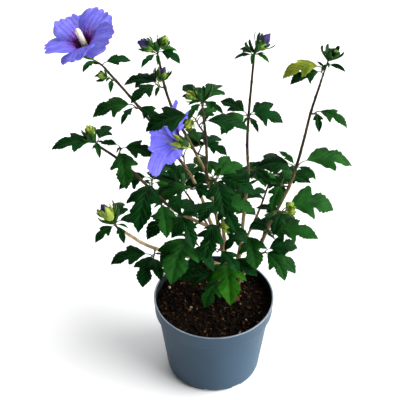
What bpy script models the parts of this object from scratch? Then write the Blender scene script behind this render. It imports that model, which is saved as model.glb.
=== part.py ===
"""Potted hibiscus shrub: a plastic nursery pot filled with peat, a short woody stool with three stems,
six boughs that fork off them, and sprays of lobed leaves, buds and two blooms.

Metres, +Z up. The origin is the middle of the pot's flat underside; -Y is the front, +X the right.
Every spray follows one growth rule: a twig leaves its limb, leaf stalks leave the twig in turn, each
carries a three-lobed blade that arches over, and a leaf that would meet anything else is turned aside
a little, or left out when no turn helps.
"""

import math
import random
from collections import namedtuple

import bmesh
import bpy
import numpy as np

GAP = 0.0003  # left between two solids that touch

# ---- pot ----
POT_HEIGHT = 0.144
RIM_RADIUS = 0.095
COLLAR_DEPTH = 0.0245
COLLAR_FOOT_RADIUS = 0.0934
BODY_TOP_RADIUS = 0.0888
BODY_FOOT_RADIUS = 0.0752
FOOT_ROUNDING = 0.006
POT_WALL = 0.0018
POT_FLOOR = 0.0025
LIP = 0.0008
POT_STEPS = 34
SLOTS = 10
SLOT_WIDTH = 0.016
SLOT_HEIGHT = 0.0055
SLOT_DEPTH = 0.009
FIRST_SLOT = -96  # bearing of one slot, degrees

# ---- peat ----
SOIL_LEVEL = 0.131
SOIL_ROUGHNESS = 0.0022
SOIL_RINGS = 5
SOIL_STEPS = 24
LEVEL_ROUND_STOOL = 0.024  # the peat is flat this far out from the stool's middle

# ---- woody stool ----
STOOL_FOOT = (0.0285, 0.0060)
STOOL_HEIGHT = 0.020
STOOL_RADII = ((0.0, 0.0130), (0.12, 0.0108), (0.35, 0.0088), (0.70, 0.0082), (0.92, 0.0086), (1.0, 0.0081))
STOOL_FLARE_LOBES = 4
STOOL_FLARE = 0.16  # how far the roots' ridges stand out at the foot, as a share of the radius
STOOL_SIDES = 16
STEM_RING = 0.0043  # the three stems stand this far from the stool's middle
STOOL_TOP = SOIL_LEVEL + GAP + STOOL_HEIGHT

# ---- limbs ----
LIMB_SIDES = 6
FACET = 0.94  # a faceted limb's mean radius as a share of its corners' radius
LIMB_STATIONS = 9
PIECES = 6  # into which each straight piece of a limb's middle line is divided
STRAIGHT = 2  # a stem leaves the stool upright over this many of them
Limb = namedtuple("Limb", "carrier at foot_radius tip_radius route")


def ring_foot(bearing):
    """Where a stem stands on the stool's top, and the point just above it that starts it off upright."""
    turn = math.radians(bearing)
    x = STOOL_FOOT[0] + STEM_RING * math.cos(turn)
    y = STOOL_FOOT[1] + STEM_RING * math.sin(turn)
    return (x, y, STOOL_TOP + GAP), (x, y, STOOL_TOP + 0.007)


LIMBS = {
    "stem_centre": Limb(None, 0, 0.0036, 0.0017, (
        *ring_foot(205), (0.017, 0.002, 0.209), (0.007, -0.008, 0.285), (-0.003, -0.025, 0.358),
        (-0.012, -0.038, 0.408), (-0.013, -0.055, 0.476), (-0.018, -0.074, 0.545))),
    "stem_back": Limb(None, 0, 0.0036, 0.0017, (
        *ring_foot(85), (0.040, 0.018, 0.226), (0.045, 0.027, 0.289), (0.050, 0.045, 0.350),
        (0.048, 0.060, 0.405), (0.051, 0.076, 0.464), (0.055, 0.091, 0.520))),
    "stem_right": Limb(None, 0, 0.0036, 0.0017, (
        *ring_foot(325), (0.059, 0.004, 0.216), (0.078, 0.002, 0.274), (0.091, 0.000, 0.315),
        (0.110, -0.006, 0.376), (0.121, -0.012, 0.442), (0.131, -0.018, 0.516), (0.138, -0.022, 0.553))),
    "bough_low_left": Limb("stem_centre", 0.13, 0.0031, 0.0024, (
        (-0.012, -0.014, 0.230), (-0.037, -0.022, 0.245), (-0.067, -0.030, 0.262), (-0.100, -0.043, 0.287),
        (-0.137, -0.060, 0.333))),
    "bough_left": Limb("stem_centre", 0.33, 0.0028, 0.0019, (
        (-0.029, -0.020, 0.316), (-0.065, -0.028, 0.348), (-0.127, -0.042, 0.436), (-0.156, -0.048, 0.468))),
    "bough_flower": Limb("stem_centre", 0.24, 0.0029, 0.0019, (
        (-0.005, 0.010, 0.283), (-0.023, 0.020, 0.337), (-0.041, 0.030, 0.371), (-0.098, 0.045, 0.455),
        (-0.128, 0.048, 0.498), (-0.149, 0.047, 0.528))),
    "bough_back_left": Limb("stem_centre", 0.12, 0.0030, 0.0019, (
        (0.016, 0.016, 0.240), (0.010, 0.026, 0.294), (-0.004, 0.032, 0.341), (-0.035, 0.038, 0.412),
        (-0.065, 0.058, 0.469), (-0.080, 0.078, 0.530))),
    "bough_low_back": Limb("stem_back", 0.13, 0.0025, 0.0015, (
        (0.052, 0.050, 0.222), (0.072, 0.088, 0.245), (0.088, 0.122, 0.272))),
    "bough_low_rear": Limb("bough_back_left", 0.10, 0.0024, 0.0015, (
        (0.003, 0.038, 0.230), (-0.016, 0.072, 0.242), (-0.042, 0.108, 0.262))),
}

# ---- sprays: the limb each grows from, how far along it, the twig's bearing, rise and length, the
# leaves in turn as (bearing, blade length in millimetres), the buds as (bearing, rise, length in
# millimetres), and a bloom as (bearing, rise, petal length in millimetres, how far its petals flare, the
# turn of its first petal) ----
Spray = namedtuple("Spray", "limb at bearing rise reach leaves buds bloom", defaults=((), None))
SPRAYS = {
    "bloom_left": Spray("bough_flower", 1.0, 185, 38, 0.033, (
        (15, 36), (222, 26), (170, 24)), (), (213, 70, 64, 75, 5)),
    "bloom_side": Spray("stem_centre", 0.76, 190, 38, 0.026, (), (), (148, 2, 64, 92, 6)),
    "leaves_front": Spray("stem_centre", 0.17, 280, 14, 0.016, ((280, 78), (236, 48), (330, 46))),
    "leaves_on_peat": Spray("stem_centre", 0.06, 215, 18, 0.018, ((236, 50), (176, 56))),
    "leaves_low_left_foot": Spray("bough_low_left", 0.32, 275, 78, 0.036, ((318, 48), (200, 52), (255, 84))),
    "leaves_low_left_tip": Spray("bough_low_left", 1.0, 128, 25, 0.012, (
        (285, 30), (222, 36), (113, 46), (80, 40)), ((150, 52, 28),)),
    "leaves_low_left_middle": Spray("bough_low_left", 0.62, 262, -20, 0.018, (
        (250, 52), (228, 58), (240, 44))),
    "leaves_left_tip": Spray("bough_left", 1.0, 160, 45, 0.012, (
        (188, 56), (72, 38), (290, 28)), ((135, 55, 19),)),
    "leaves_left_upper": Spray("bough_left", 0.88, 60, 45, 0.012, ((283, 58), (345, 42), (150, 30))),
    "leaves_left_middle": Spray("bough_left", 0.55, 95, 40, 0.012, ((252, 80), (60, 40), (200, 46))),
    "leaves_left_lower": Spray("bough_left", 0.45, 262, -10, 0.016, ((284, 54), (15, 46))),
    "leaves_left_foot": Spray("bough_left", 0.30, 262, 10, 0.016, ((208, 56), (290, 54), (340, 44))),
    "leaves_flower_tip": Spray("bough_flower", 0.95, 230, 35, 0.008, (
        (250, 22), (200, 22)), ((215, 35, 15),)),
    "leaves_flower_upper": Spray("bough_flower", 0.78, 250, 25, 0.012, ((192, 58), (320, 38), (215, 32))),
    "leaves_flower_middle": Spray("bough_flower", 0.42, 95, 25, 0.014, ((110, 52), (165, 46), (60, 50))),
    "leaves_flower_foot": Spray("bough_flower", 0.30, 235, 20, 0.014, ((188, 54), (238, 50), (300, 42))),
    "leaves_back_left_tip": Spray("bough_back_left", 1.0, 120, 70, 0.012, (
        (100, 32), (200, 30), (340, 34), (30, 28)), ((185, 35, 26), (15, 58, 20))),
    "leaves_back_left_upper": Spray("bough_back_left", 0.88, 205, 25, 0.010, (
        (139, 40), (225, 46), (191, 48)), ((30, 66, 23),)),
    "leaves_back_left_middle": Spray("bough_back_left", 0.55, 60, 30, 0.012, (
        (55, 44), (100, 46), (345, 36))),
    "leaves_back_left_lower": Spray("bough_back_left", 0.36, 85, 25, 0.014, ((70, 50), (125, 52), (175, 44))),
    "leaves_centre_tip": Spray("stem_centre", 1.0, 110, 80, 0.016, (
        (63, 52), (115, 42), (230, 30), (330, 30)), ((168, 30, 17),)),
    "leaves_centre_upper": Spray("stem_centre", 0.885, 190, 60, 0.022, (
        (335, 60), (20, 38), (168, 60)), ((240, 0, 16),)),
    "leaves_centre_middle": Spray("stem_centre", 0.64, 320, 20, 0.014, ((335, 56), (285, 60), (30, 46))),
    "leaves_centre_lower": Spray("stem_centre", 0.50, 300, 20, 0.014, ((356, 50), (300, 50), (235, 46))),
    "leaves_centre_waist": Spray("stem_centre", 0.385, 275, 15, 0.016, (
        (330, 46), (225, 56), (275, 44)), ((315, 45, 20),)),
    "leaves_centre_foot": Spray("stem_centre", 0.25, 250, 5, 0.018, ((192, 50), (300, 46), (150, 44))),
    "leaves_back_tip": Spray("stem_back", 1.0, 60, 78, 0.012, (
        (119, 32), (190, 26), (325, 24), (255, 22)), ((35, 40, 29),)),
    "leaves_back_upper": Spray("stem_back", 0.78, 262, 25, 0.012, (
        (142, 46), (215, 48), (49, 44), (300, 30), (352, 46))),
    "leaves_back_waist": Spray("stem_back", 0.37, 95, 25, 0.014, ((100, 52), (45, 50), (150, 48))),
    "leaves_back_rear": Spray("stem_back", 0.46, 88, 30, 0.014, ((75, 50), (130, 48), (20, 46))),
    "leaves_back_middle": Spray("stem_back", 0.56, 300, 20, 0.012, ((8, 54), (235, 48), (310, 36))),
    "leaves_back_foot": Spray("stem_back", 0.28, 300, 15, 0.014, ((290, 58), (337, 56), (250, 40))),
    "leaves_right_rear": Spray("stem_right", 0.27, 75, 25, 0.014, ((75, 52), (25, 48), (125, 50))),
    "leaves_right_tip": Spray("stem_right", 1.0, 30, 72, 0.038, (
        (200, 44), (178, 52), (330, 24), (72, 34)), ((25, 42, 11),)),
    "leaves_right_high": Spray("stem_right", 0.88, 300, 25, 0.010, ((335, 46), (285, 32))),
    "leaves_right_upper": Spray("stem_right", 0.645, 262, 25, 0.012, (
        (163, 52), (14, 82), (135, 32), (320, 32), (60, 26))),
    "leaves_right_middle": Spray("stem_right", 0.55, 200, 25, 0.012, ((135, 28), (240, 42), (20, 40))),
    "leaves_right_lower": Spray("stem_right", 0.42, 300, 25, 0.016, (
        (20, 78), (160, 34), (250, 42)), ((30, 40, 15), (340, 30, 13))),
    "leaves_right_foot": Spray("stem_right", 0.33, 290, 15, 0.014, ((345, 64), (155, 30), (40, 52))),
    "leaves_right_skirt": Spray("stem_right", 0.21, 305, 30, 0.018, ((326, 56), (284, 54), (10, 48))),
    "leaves_low_back_tip": Spray("bough_low_back", 1.0, 40, 42, 0.018, (
        (5, 58), (90, 58), (150, 50), (45, 54), (320, 50))),
    "leaves_low_back_foot": Spray("bough_low_back", 0.45, 20, 20, 0.014, ((15, 54), (75, 52), (330, 46))),
    "leaves_low_rear_tip": Spray("bough_low_rear", 1.0, 110, 42, 0.018, (
        (150, 60), (85, 58), (200, 54), (120, 50), (40, 48))),
    "leaves_low_rear_foot": Spray("bough_low_rear", 0.45, 170, 20, 0.014, ((175, 56), (120, 52), (215, 48))),
}

# ---- growth rule ----
TWIG_SIDES = 5
TWIG_STATIONS = 4
TWIG_ROOT_RADIUS = 0.0013
TWIG_TIP_RADIUS = 0.0010
TWIG_UPTURN = 0.15  # a twig's end is lifted this share of its length
FIRST_LEAF = 0.45  # the first leaf stands this far along its twig, and the last one this far
LAST_LEAF = 0.95
SMALL_BLADE = 34  # millimetres; shorter blades are narrower by the next figure
SMALL_WIDTH = 0.8
STALK_SHARE = 0.25  # a leaf stalk's length as a share of its blade
STALK_BEND = 0.55  # the share of it that stands up steeply, before it bends level
STALK_RADIUS = 0.0007
BLADE_ROOT = 0.0012  # half the width of a blade where its stalk ends
STALK_RISE = 48
BLADE_RISE = 14
BLADE_DROOP = 58
BLADE_FOLD = 10
BLADE_CURL = 0.45
JITTER = 7
DROOP_SPREAD = (-12, 18)
ROLL_SPREAD = 12
WIDTH_SPREAD = (0.86, 1.12)
LIGHT_TILT = 18  # blades lean their faces this far towards the front, where the light comes from
TURNS = (0, 14, -14, 28, -28, 44, -44, 62, -62)  # degrees a leaf may turn aside to stay clear
LIFTS = (0, 14, -14, 28)
LEAF_ROOM = 0.0052
LIMB_ROOM = 0.0028
OWN_ROOM = 0.7  # a leaf needs only this share of the room towards what its own spray holds
SOIL_ROOM = 0.0050
RIM_ROOM = 0.0060
BUD_STALK = 0.008

# Half outline of a blade from root to tip, as (along, across) in blade lengths: side lobe, notch,
# middle lobe. The stations are where its midrib is crossed.
HALF_OUTLINE = ((0.45, 0.36), (0.49, 0.17), (0.70, 0.21))
MIDRIB_STATIONS = (0.26, 0.48, 0.68)
BLADE_THICKNESS = 0.013
PROXY_STATIONS = (0.08, 0.20, 0.32, 0.42, 0.56, 0.70, 0.86, 1.0)  # and the shares of its half width
PROXY_SHARES = (-1, -0.5, 0, 0.5, 1)

# ---- blooms, in petal lengths, and buds, in bud lengths ----
PETALS = 5
PETAL_ROOT = (0.16, 0.03)  # where a petal starts, along the bloom's axis and out from it
PETAL_THICKNESS = 0.016
PETAL_ALONG = (0.0, 0.30, 0.62, 0.92)
PETAL_HALF_WIDTH = (0.07, 0.22, 0.46, 0.40)
PETAL_ACROSS = (-1, -0.4, 0.4, 1)
PETAL_CORNER = 0.10  # how far a petal's outer corners fall short of its middle
PETAL_TILT = 13  # each petal's one edge lies over the next
LEAN_AT_ROOT = 0.1  # of the flare, and how fast a petal leans out to the whole of it
LEAN_GAIN = 1.36
BLOOM_ROOM = 0.004
CUP = ((0.0, 0.022), (0.06, 0.10), (0.22, 0.13), (0.30, 0.05))
COLUMN = ((0.20, 0.05), (0.45, 0.06), (0.82, 0.065), (0.90, 0.035))
BUD_SIDES = 6
BUD_RINGS = ((0.0, 0.14), (0.30, 0.33), (0.66, 0.27), (0.98, 0.04))

Leaf = namedtuple("Leaf", "root bearing lift blade droop roll width")
Bud = namedtuple("Bud", "root axis length")
Bloom = namedtuple("Bloom", "root axis petal flare turn")


def aim(bearing, rise):
    """The unit vector of a compass bearing and a rise above the level, in degrees."""
    turn, up = math.radians(bearing), math.radians(rise)
    return np.array([math.cos(turn) * math.cos(up), math.sin(turn) * math.cos(up), math.sin(up)])


def spline(points, count):
    """A smooth curve through the points, as this many points of it at even spacing."""
    ends = [2 * points[0] - points[1], *points, 2 * points[-1] - points[-2]]
    fine = []
    for a, b, c, d in zip(ends, ends[1:], ends[2:], ends[3:]):
        for t in np.linspace(0, 1, 12, endpoint=False):
            fine.append(0.5 * (2 * b + (c - a) * t + (2 * a - 5 * b + 4 * c - d) * t**2
                               + (3 * b - 3 * c + d - a) * t**3))
    fine = np.array([*fine, points[-1]])
    walked = np.concatenate([[0], np.cumsum(np.linalg.norm(np.diff(fine, axis=0), axis=1))])
    wanted = np.linspace(0, walked[-1], count)
    return np.stack([np.interp(wanted, walked, fine[:, i]) for i in range(3)], axis=1)


def finer(points):
    """The same run of straight pieces, each divided evenly."""
    shares = np.linspace(0, 1, PIECES, endpoint=False)[:, None]
    return np.concatenate([*(a + (b - a) * shares for a, b in zip(points, points[1:])), points[-1:]])


def along(path, fraction):
    """The point and the direction at a fraction of a path of evenly spaced points."""
    place = fraction * (len(path) - 1)
    i = min(int(place), len(path) - 2)
    step = path[i + 1] - path[i]
    return path[i] + step * (place - i), step / np.linalg.norm(step)


def off_side(path, fraction, carrier_radius, heading, radius):
    """The point beside a limb where a shoot of this heading and radius starts, clear of the limb."""
    point, ahead = along(path, fraction)
    slant = abs(float(ahead @ heading))
    reach = FACET * carrier_radius + GAP + FACET * radius * slant
    return point + heading * reach / math.sqrt(1 - slant**2)


def limb_radius(limb, fraction):
    return limb.foot_radius + (limb.tip_radius - limb.foot_radius) * fraction**0.8


def limb_paths():
    """Each limb's middle line, a forked one from its carrier's side."""
    paths = {}
    for name, limb in LIMBS.items():
        points = [np.array(p) for p in limb.route]
        if limb.carrier:
            base, ahead = along(paths[limb.carrier], limb.at)
            away = points[0] - base
            heading = away / np.linalg.norm(away)
            room = limb_radius(LIMBS[limb.carrier], limb.at)
            points.insert(0, off_side(paths[limb.carrier], limb.at, room, heading, limb.foot_radius))
        stations = LIMB_STATIONS + (limb.carrier is None)
        paths[name] = finer(spline(points, stations))
        if not limb.carrier:
            paths[name][1:STRAIGHT, :2] = paths[name][0, :2]
    return paths


def blade_points(leaf, start, s, u):
    """Points of a blade at the shares s along its midrib and u across it, in blade lengths."""
    s, u = np.asarray(s, float)[..., None], np.asarray(u, float)[..., None]
    ahead, across = aim(leaf.bearing, 0), aim(leaf.bearing + 90, 0)
    up = np.array([0.0, 0.0, 1.0])
    rise, droop = math.radians(BLADE_RISE + leaf.lift), math.radians(leaf.droop)
    slope = rise - droop * s
    middle = (ahead * (math.sin(rise) - np.sin(slope)) + up * (np.cos(slope) - math.cos(rise))) / droop
    normal = up * np.cos(slope) - ahead * np.sin(slope)
    roll = math.radians(leaf.roll)
    side = across * math.cos(roll) + normal * math.sin(roll)
    over = normal * math.cos(roll) - across * math.sin(roll)
    fold = math.tan(math.radians(BLADE_FOLD))
    return start + leaf.blade * (middle + side * u + over * (np.abs(u) * fold - BLADE_CURL * u**2))


def stalk_points(leaf):
    """The leaf stalk's middle line, which leaves the twig steeply and ends in line with the blade."""
    length = leaf.blade * STALK_SHARE
    out = aim(leaf.bearing, STALK_RISE + leaf.lift)
    level = aim(leaf.bearing, BLADE_RISE + leaf.lift)
    bend = leaf.root + out * length * STALK_BEND
    return np.array([leaf.root, bend, bend + level * length * (1 - STALK_BEND)])


def leaf_proxy(leaf):
    """Points over the stalk, two of them, and then over the blade, for seeking the leaf's room."""
    stalk = stalk_points(leaf)
    places = np.repeat(PROXY_STATIONS, len(PROXY_SHARES))
    wide = np.interp(places, [0, *[s for s, _ in HALF_OUTLINE], 1], [0, *[u for _, u in HALF_OUTLINE], 0])
    across = wide * np.tile(PROXY_SHARES, len(PROXY_STATIONS)) * leaf.width
    bend = [(stalk[0] + 2 * stalk[1]) / 3, stalk[1]]
    return np.concatenate([bend, blade_points(leaf, stalk[-1], places, across)])


def nearest(points, rows):
    if len(rows) == 0:
        return math.inf
    return float((np.linalg.norm(points[:, None, :] - rows[None, :, :3], axis=2) - rows[None, :, 3]).min())


def over_pot(points):
    """True when the points keep clear of the peat and of the pot's rim."""
    out = np.hypot(points[:, 0], points[:, 1])
    floor = np.where(out < RIM_RADIUS - 0.016, SOIL_LEVEL + SOIL_ROOM,
                     np.where(out < RIM_RADIUS + 0.008, POT_HEIGHT + RIM_ROOM, 0.02))
    return bool((points[:, 2] > floor).all())


def twig_path(spray, paths):
    """The twig's middle line: from its limb's side or on from its tip, turning a little upwards."""
    limb = LIMBS[spray.limb]
    path = paths[spray.limb]
    heading = aim(spray.bearing, spray.rise)
    if spray.at == 1.0:
        point, ahead = along(path, 1.0)
        start = point + ahead * GAP
        bend = start + ahead * spray.reach / 2
        points = [start, bend, bend + heading * spray.reach / 2]
    else:
        start = off_side(path, spray.at, limb_radius(limb, spray.at), heading, TWIG_ROOT_RADIUS)
        end = start + heading * spray.reach + np.array([0, 0, TWIG_UPTURN * spray.reach])
        points = [start, start + heading * spray.reach / 2, end]
    return spline(points, TWIG_STATIONS)


def with_radius(points, radius):
    return np.column_stack([points, np.full(len(points), radius)])


def occupied(paths, twigs, flowers):
    """The limbs, twigs, buds and blooms as rows of x, y, z, radius and the spray they belong to."""
    rows = []
    for name, path in paths.items():
        radii = limb_radius(LIMBS[name], np.linspace(0, 1, len(path)))
        rows.append(np.column_stack([path, radii, np.full(len(path), -1)]))
    for owner, name in enumerate(SPRAYS):
        buds, bloom = flowers[name]
        balls = [with_radius(twigs[name][1:], TWIG_ROOT_RADIUS), *map(bud_proxy, buds)]
        if bloom:
            balls.append(bloom_proxy(bloom))
        balls = np.concatenate(balls)
        rows.append(np.column_stack([balls, np.full(len(balls), owner)]))
    return np.concatenate(rows)


def new_leaf(chance, root, bearing, blade):
    """A leaf of this bearing and blade length, with its own small differences."""
    bearing += chance.uniform(-JITTER, JITTER)
    lift = chance.uniform(-JITTER, JITTER)
    droop = BLADE_DROOP + chance.uniform(*DROOP_SPREAD) - LIGHT_TILT * math.sin(math.radians(bearing))
    roll = chance.uniform(-ROLL_SPREAD, ROLL_SPREAD) + LIGHT_TILT * math.cos(math.radians(bearing))
    width = chance.uniform(*WIDTH_SPREAD) * (SMALL_WIDTH if blade < SMALL_BLADE else 1.0)
    return Leaf(root, bearing, lift, blade / 1000, droop, roll, width)


def grow():
    """The limbs' paths, and every spray's twig, leaves, buds and bloom."""
    paths = limb_paths()
    twigs = {name: twig_path(spray, paths) for name, spray in SPRAYS.items()}
    flowers = {name: flower_parts(SPRAYS[name], twigs[name]) for name in SPRAYS}
    rows = occupied(paths, twigs, flowers)
    blades, sprays = np.empty((0, 5)), {}
    for owner, (name, spray) in enumerate(SPRAYS.items()):
        chance = random.Random(name)
        leaves = []
        for i, (bearing, blade) in enumerate(spray.leaves):
            share = FIRST_LEAF + (LAST_LEAF - FIRST_LEAF) * i / max(1, len(spray.leaves) - 1)
            root, _ = along(twigs[name], share)
            leaf = room_for(new_leaf(chance, root, bearing, blade), owner, rows, blades)
            if leaf:
                leaves.append(leaf)
                points = with_radius(leaf_proxy(leaf), 0.0)
                blades = np.concatenate([blades, np.column_stack([points, np.full(len(points), owner)])])
        sprays[name] = (twigs[name], leaves, *flowers[name])
    return paths, sprays


def room_for(leaf, owner, rows, blades):
    """The leaf as it is, or turned or lifted until it is clear of all else; None when no turn helps."""
    for lift in LIFTS:
        for turn in TURNS:
            moved = leaf._replace(bearing=leaf.bearing + turn, lift=leaf.lift + lift)
            points = leaf_proxy(moved)
            if not over_pot(points):
                continue
            if not apart(points, owner, rows, LIMB_ROOM) or not apart(points, owner, blades, LEAF_ROOM):
                continue
            return moved
    return None


def apart(points, owner, rows, room):
    """True when the leaf keeps this room; its stalk may be near what its own spray holds."""
    own = rows[:, 4] == owner
    return nearest(points, rows[~own]) >= room and nearest(points[2:], rows[own]) >= room * OWN_ROOM


def flower_parts(spray, twig):
    """The spray's buds and bloom, which leave the twig's end."""
    end = twig[-1]
    buds = [Bud(end, aim(bearing, rise), length / 1000) for bearing, rise, length in spray.buds]
    if not spray.bloom:
        return buds, None
    bearing, rise, petal, flare, turn = spray.bloom
    return buds, Bloom(end, aim(bearing, rise), petal / 1000, flare, math.radians(turn))


def bud_proxy(bud):
    """Balls along a bud, as wide as its widest ring."""
    shares, radii = np.array(BUD_RINGS[1:]).T
    start = bud.root + bud.axis * BUD_STALK
    return with_radius(start + bud.axis * bud.length * shares[:, None], bud.length * radii.max())


def petal_rows(bloom, k):
    """One petal as rows, each its middle point, half width, the way across it and the way outwards."""
    side, over = across_axis(bloom.axis)
    turn = math.tau * k / PETALS + bloom.turn
    spoke = side * math.cos(turn) + over * math.sin(turn)
    flank = np.cross(bloom.axis, spoke)
    tilt = math.radians(PETAL_TILT)
    across = flank * math.cos(tilt) + bloom.axis * math.sin(tilt)
    point = bloom.root + bloom.petal * (bloom.axis * PETAL_ROOT[0] + spoke * PETAL_ROOT[1])
    rows, before = [], 0.0
    for share, half in zip(PETAL_ALONG, PETAL_HALF_WIDTH):
        lean = math.radians(bloom.flare * min(1, LEAN_AT_ROOT + LEAN_GAIN * (share + before) / 2))
        heading = bloom.axis * math.cos(lean) + spoke * math.sin(lean)
        point = point + bloom.petal * (share - before) * heading
        before = share
        rows.append((point, half * bloom.petal, across, spoke))
    return rows


def bloom_proxy(bloom):
    """Points over a bloom's petals and its column."""
    points = [bloom.root + bloom.axis * bloom.petal * COLUMN[-1][0]]
    for k in range(PETALS):
        for point, half, across, _ in petal_rows(bloom, k):
            points += [point + across * half * u for u in (-1, -0.5, 0, 0.5, 1)]
    return with_radius(np.array(points), BLOOM_ROOM)


def across_axis(axis):
    """Two unit vectors square to an axis and to each other."""
    side = np.cross(axis, [0.0, 0.0, 1.0])
    side /= np.linalg.norm(side)
    return side, np.cross(side, axis)


# ---- solids ----


def material(name, colour, roughness):
    made = bpy.data.materials.new(name)
    made.use_nodes = True
    shader = made.node_tree.nodes["Principled BSDF"]
    shader.inputs["Base Color"].default_value = (*colour, 1)
    shader.inputs["Roughness"].default_value = roughness
    return made


def solid(name, points, faces, finish):
    mesh = bpy.data.meshes.new(name)
    mesh.from_pydata([tuple(map(float, p)) for p in points], [], faces)
    face_out(mesh)
    mesh.materials.append(finish)
    made = bpy.data.objects.new(name, mesh)
    bpy.context.scene.collection.objects.link(made)
    return made


def face_out(mesh):
    """Turns every face of a closed mesh outwards."""
    work = bmesh.new()
    work.from_mesh(mesh)
    bmesh.ops.recalc_face_normals(work, faces=work.faces)
    work.to_mesh(mesh)
    work.free()


def tube(points, radii, sides):
    """A closed tube along a path, its first and last rings flat."""
    rings, side = [], None
    for i, point in enumerate(points):
        ahead = points[min(i + 1, len(points) - 1)] - points[max(i - 1, 0)]
        ahead = ahead / np.linalg.norm(ahead)
        if side is None:
            side = np.cross(ahead, [0.3, 1.0, 0.1])
        side = side - ahead * (side @ ahead)
        side /= np.linalg.norm(side)
        over = np.cross(ahead, side)
        for k in range(sides):
            turn = math.tau * k / sides
            rings.append(point + radii[i] * (side * math.cos(turn) + over * math.sin(turn)))
    return rings, tube_faces(len(points), sides)


def tube_faces(rings, sides):
    faces = [tuple(range(sides - 1, -1, -1))]
    for i in range(rings - 1):
        for k in range(sides):
            a, b = i * sides + k, i * sides + (k + 1) % sides
            faces.append((a, b, b + sides, a + sides))
    last = (rings - 1) * sides
    faces.append(tuple(range(last, last + sides)))
    return faces


def slab(top, bottom, faces, rim):
    """A thin closed solid between two like sheets of points, walled along its rim."""
    count = len(top)
    turned = [tuple(count + i for i in reversed(face)) for face in faces]
    walls = [(a, a + count, b + count, b) for a, b in zip(rim, rim[1:] + rim[:1])]
    return np.concatenate([top, bottom]), faces + turned + walls


def leaf_solid(leaf):
    """A leaf in one piece: a stalk of four sides that opens out into a folded and arching blade."""
    stalk = stalk_points(leaf)
    across, up = aim(leaf.bearing + 90, 0), np.array([0.0, 0.0, 1.0])
    thick = up * leaf.blade * BLADE_THICKNESS / 2
    points = []
    for point, half in zip(stalk, (STALK_RADIUS * 1.1, STALK_RADIUS, BLADE_ROOT)):
        lift = thick if half == BLADE_ROOT else up * STALK_RADIUS
        points += [point + across * half + lift, point - across * half + lift,
                   point - across * half - lift, point + across * half - lift]
    n = len(HALF_OUTLINE)
    s = [*MIDRIB_STATIONS, 1.0, *[p[0] for p in HALF_OUTLINE] * 2]
    wide = [p[1] * leaf.width for p in HALF_OUTLINE]
    sheet = blade_points(leaf, stalk[-1], s, [0.0] * (n + 1) + wide + [-w for w in wide])
    first, low = len(points), len(sheet)
    points += [*(sheet + thick), *(sheet - thick)]
    faces = [(3, 2, 1, 0)]
    for ring in (0, 4):
        faces += [(ring + k, ring + (k + 1) % 4, ring + 4 + (k + 1) % 4, ring + 4 + k) for k in range(4)]
    for below, root in ((0, (8, 9)), (low, (11, 10))):
        middle = [first + below + i for i in range(n + 1)]
        faces.append((root[0], root[1], middle[0]))
        for side in (0, 1):
            edge = [first + below + (n + 1) + side * n + i for i in range(n)]
            faces.append((root[side], middle[0], edge[0]))
            for i in range(n - 1):
                faces += [(middle[i], middle[i + 1], edge[i + 1]), (middle[i], edge[i + 1], edge[i])]
            faces.append((middle[n - 1], middle[n], edge[n - 1]))
    left = [first + n + 1 + i for i in range(n)]
    right = [first + 2 * n + 1 + i for i in range(n)]
    rim = [*left, first + n, *reversed(right)]
    faces += [(a, b, b + low, a + low) for a, b in zip(rim, rim[1:])]
    faces += [(8, rim[0], rim[0] + low, 11), (rim[-1], 9, 10, rim[-1] + low)]
    return points, faces


def bud_solid(bud):
    start = bud.root + bud.axis * BUD_STALK
    points = np.array([bud.root] + [start + bud.axis * bud.length * share for share, _ in BUD_RINGS])
    radii = [0.0009] + [bud.length * out for _, out in BUD_RINGS]
    return tube(points, radii, BUD_SIDES)


def petal_solid(bloom, k):
    """One petal: it rises with the cup, flares out, and lies over the next one's edge."""
    top, bottom = [], []
    columns, rows = len(PETAL_ACROSS), len(PETAL_ALONG)
    for i, (point, half, across, spoke) in enumerate(petal_rows(bloom, k)):
        lift = np.cross(across, spoke) * bloom.petal * PETAL_THICKNESS / 2
        for u in PETAL_ACROSS:
            notch = PETAL_CORNER * u * u if i == rows - 1 else 0
            place = point + across * half * u - spoke * notch * bloom.petal
            top.append(place + lift)
            bottom.append(place - lift)
    faces = []
    for i in range(rows - 1):
        for j in range(columns - 1):
            a = i * columns + j
            faces.append((a, a + 1, a + 1 + columns, a + columns))
    rim = [*range(columns), *range(2 * columns - 1, rows * columns, columns)]
    rim += [*range(rows * columns - 2, (rows - 1) * columns - 1, -1)]
    rim += [*range((rows - 2) * columns, 0, -columns)]
    return slab(np.array(bottom), np.array(top), faces, rim)


def turned(bloom, shares, sides):
    """A turned body on the bloom's axis, from pairs of a place along it and a radius in petal lengths."""
    points = [bloom.root + bloom.axis * bloom.petal * share for share, _ in shares]
    return tube(np.array(points), [bloom.petal * radius for _, radius in shares], sides)


def signed_volume(faces):
    total = 0.0
    for face in faces:
        a, b, c = (v.co for v in face.verts)
        total += a.dot(b.cross(c)) / 6
    return total


def keep_whole_body(mesh):
    """Leaves only the largest closed body of a triangulated mesh: loose scraps and sealed hollows go."""
    work = bmesh.new()
    work.from_mesh(mesh)
    bmesh.ops.remove_doubles(work, verts=work.verts, dist=2e-6)
    bmesh.ops.dissolve_degenerate(work, edges=work.edges, dist=1e-6)
    bmesh.ops.triangulate(work, faces=work.faces)
    unseen, groups = set(work.faces), []
    while unseen:
        found, front = set(), [unseen.pop()]
        while front:
            face = front.pop()
            found.add(face)
            for edge in face.edges:
                for other in edge.link_faces:
                    if other in unseen:
                        unseen.discard(other)
                        front.append(other)
        groups.append(found)
    best = max(groups, key=signed_volume)
    scraps = [face for group in groups if group is not best for face in group]
    bmesh.ops.delete(work, geom=scraps, context="FACES")
    work.to_mesh(mesh)
    work.free()


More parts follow.
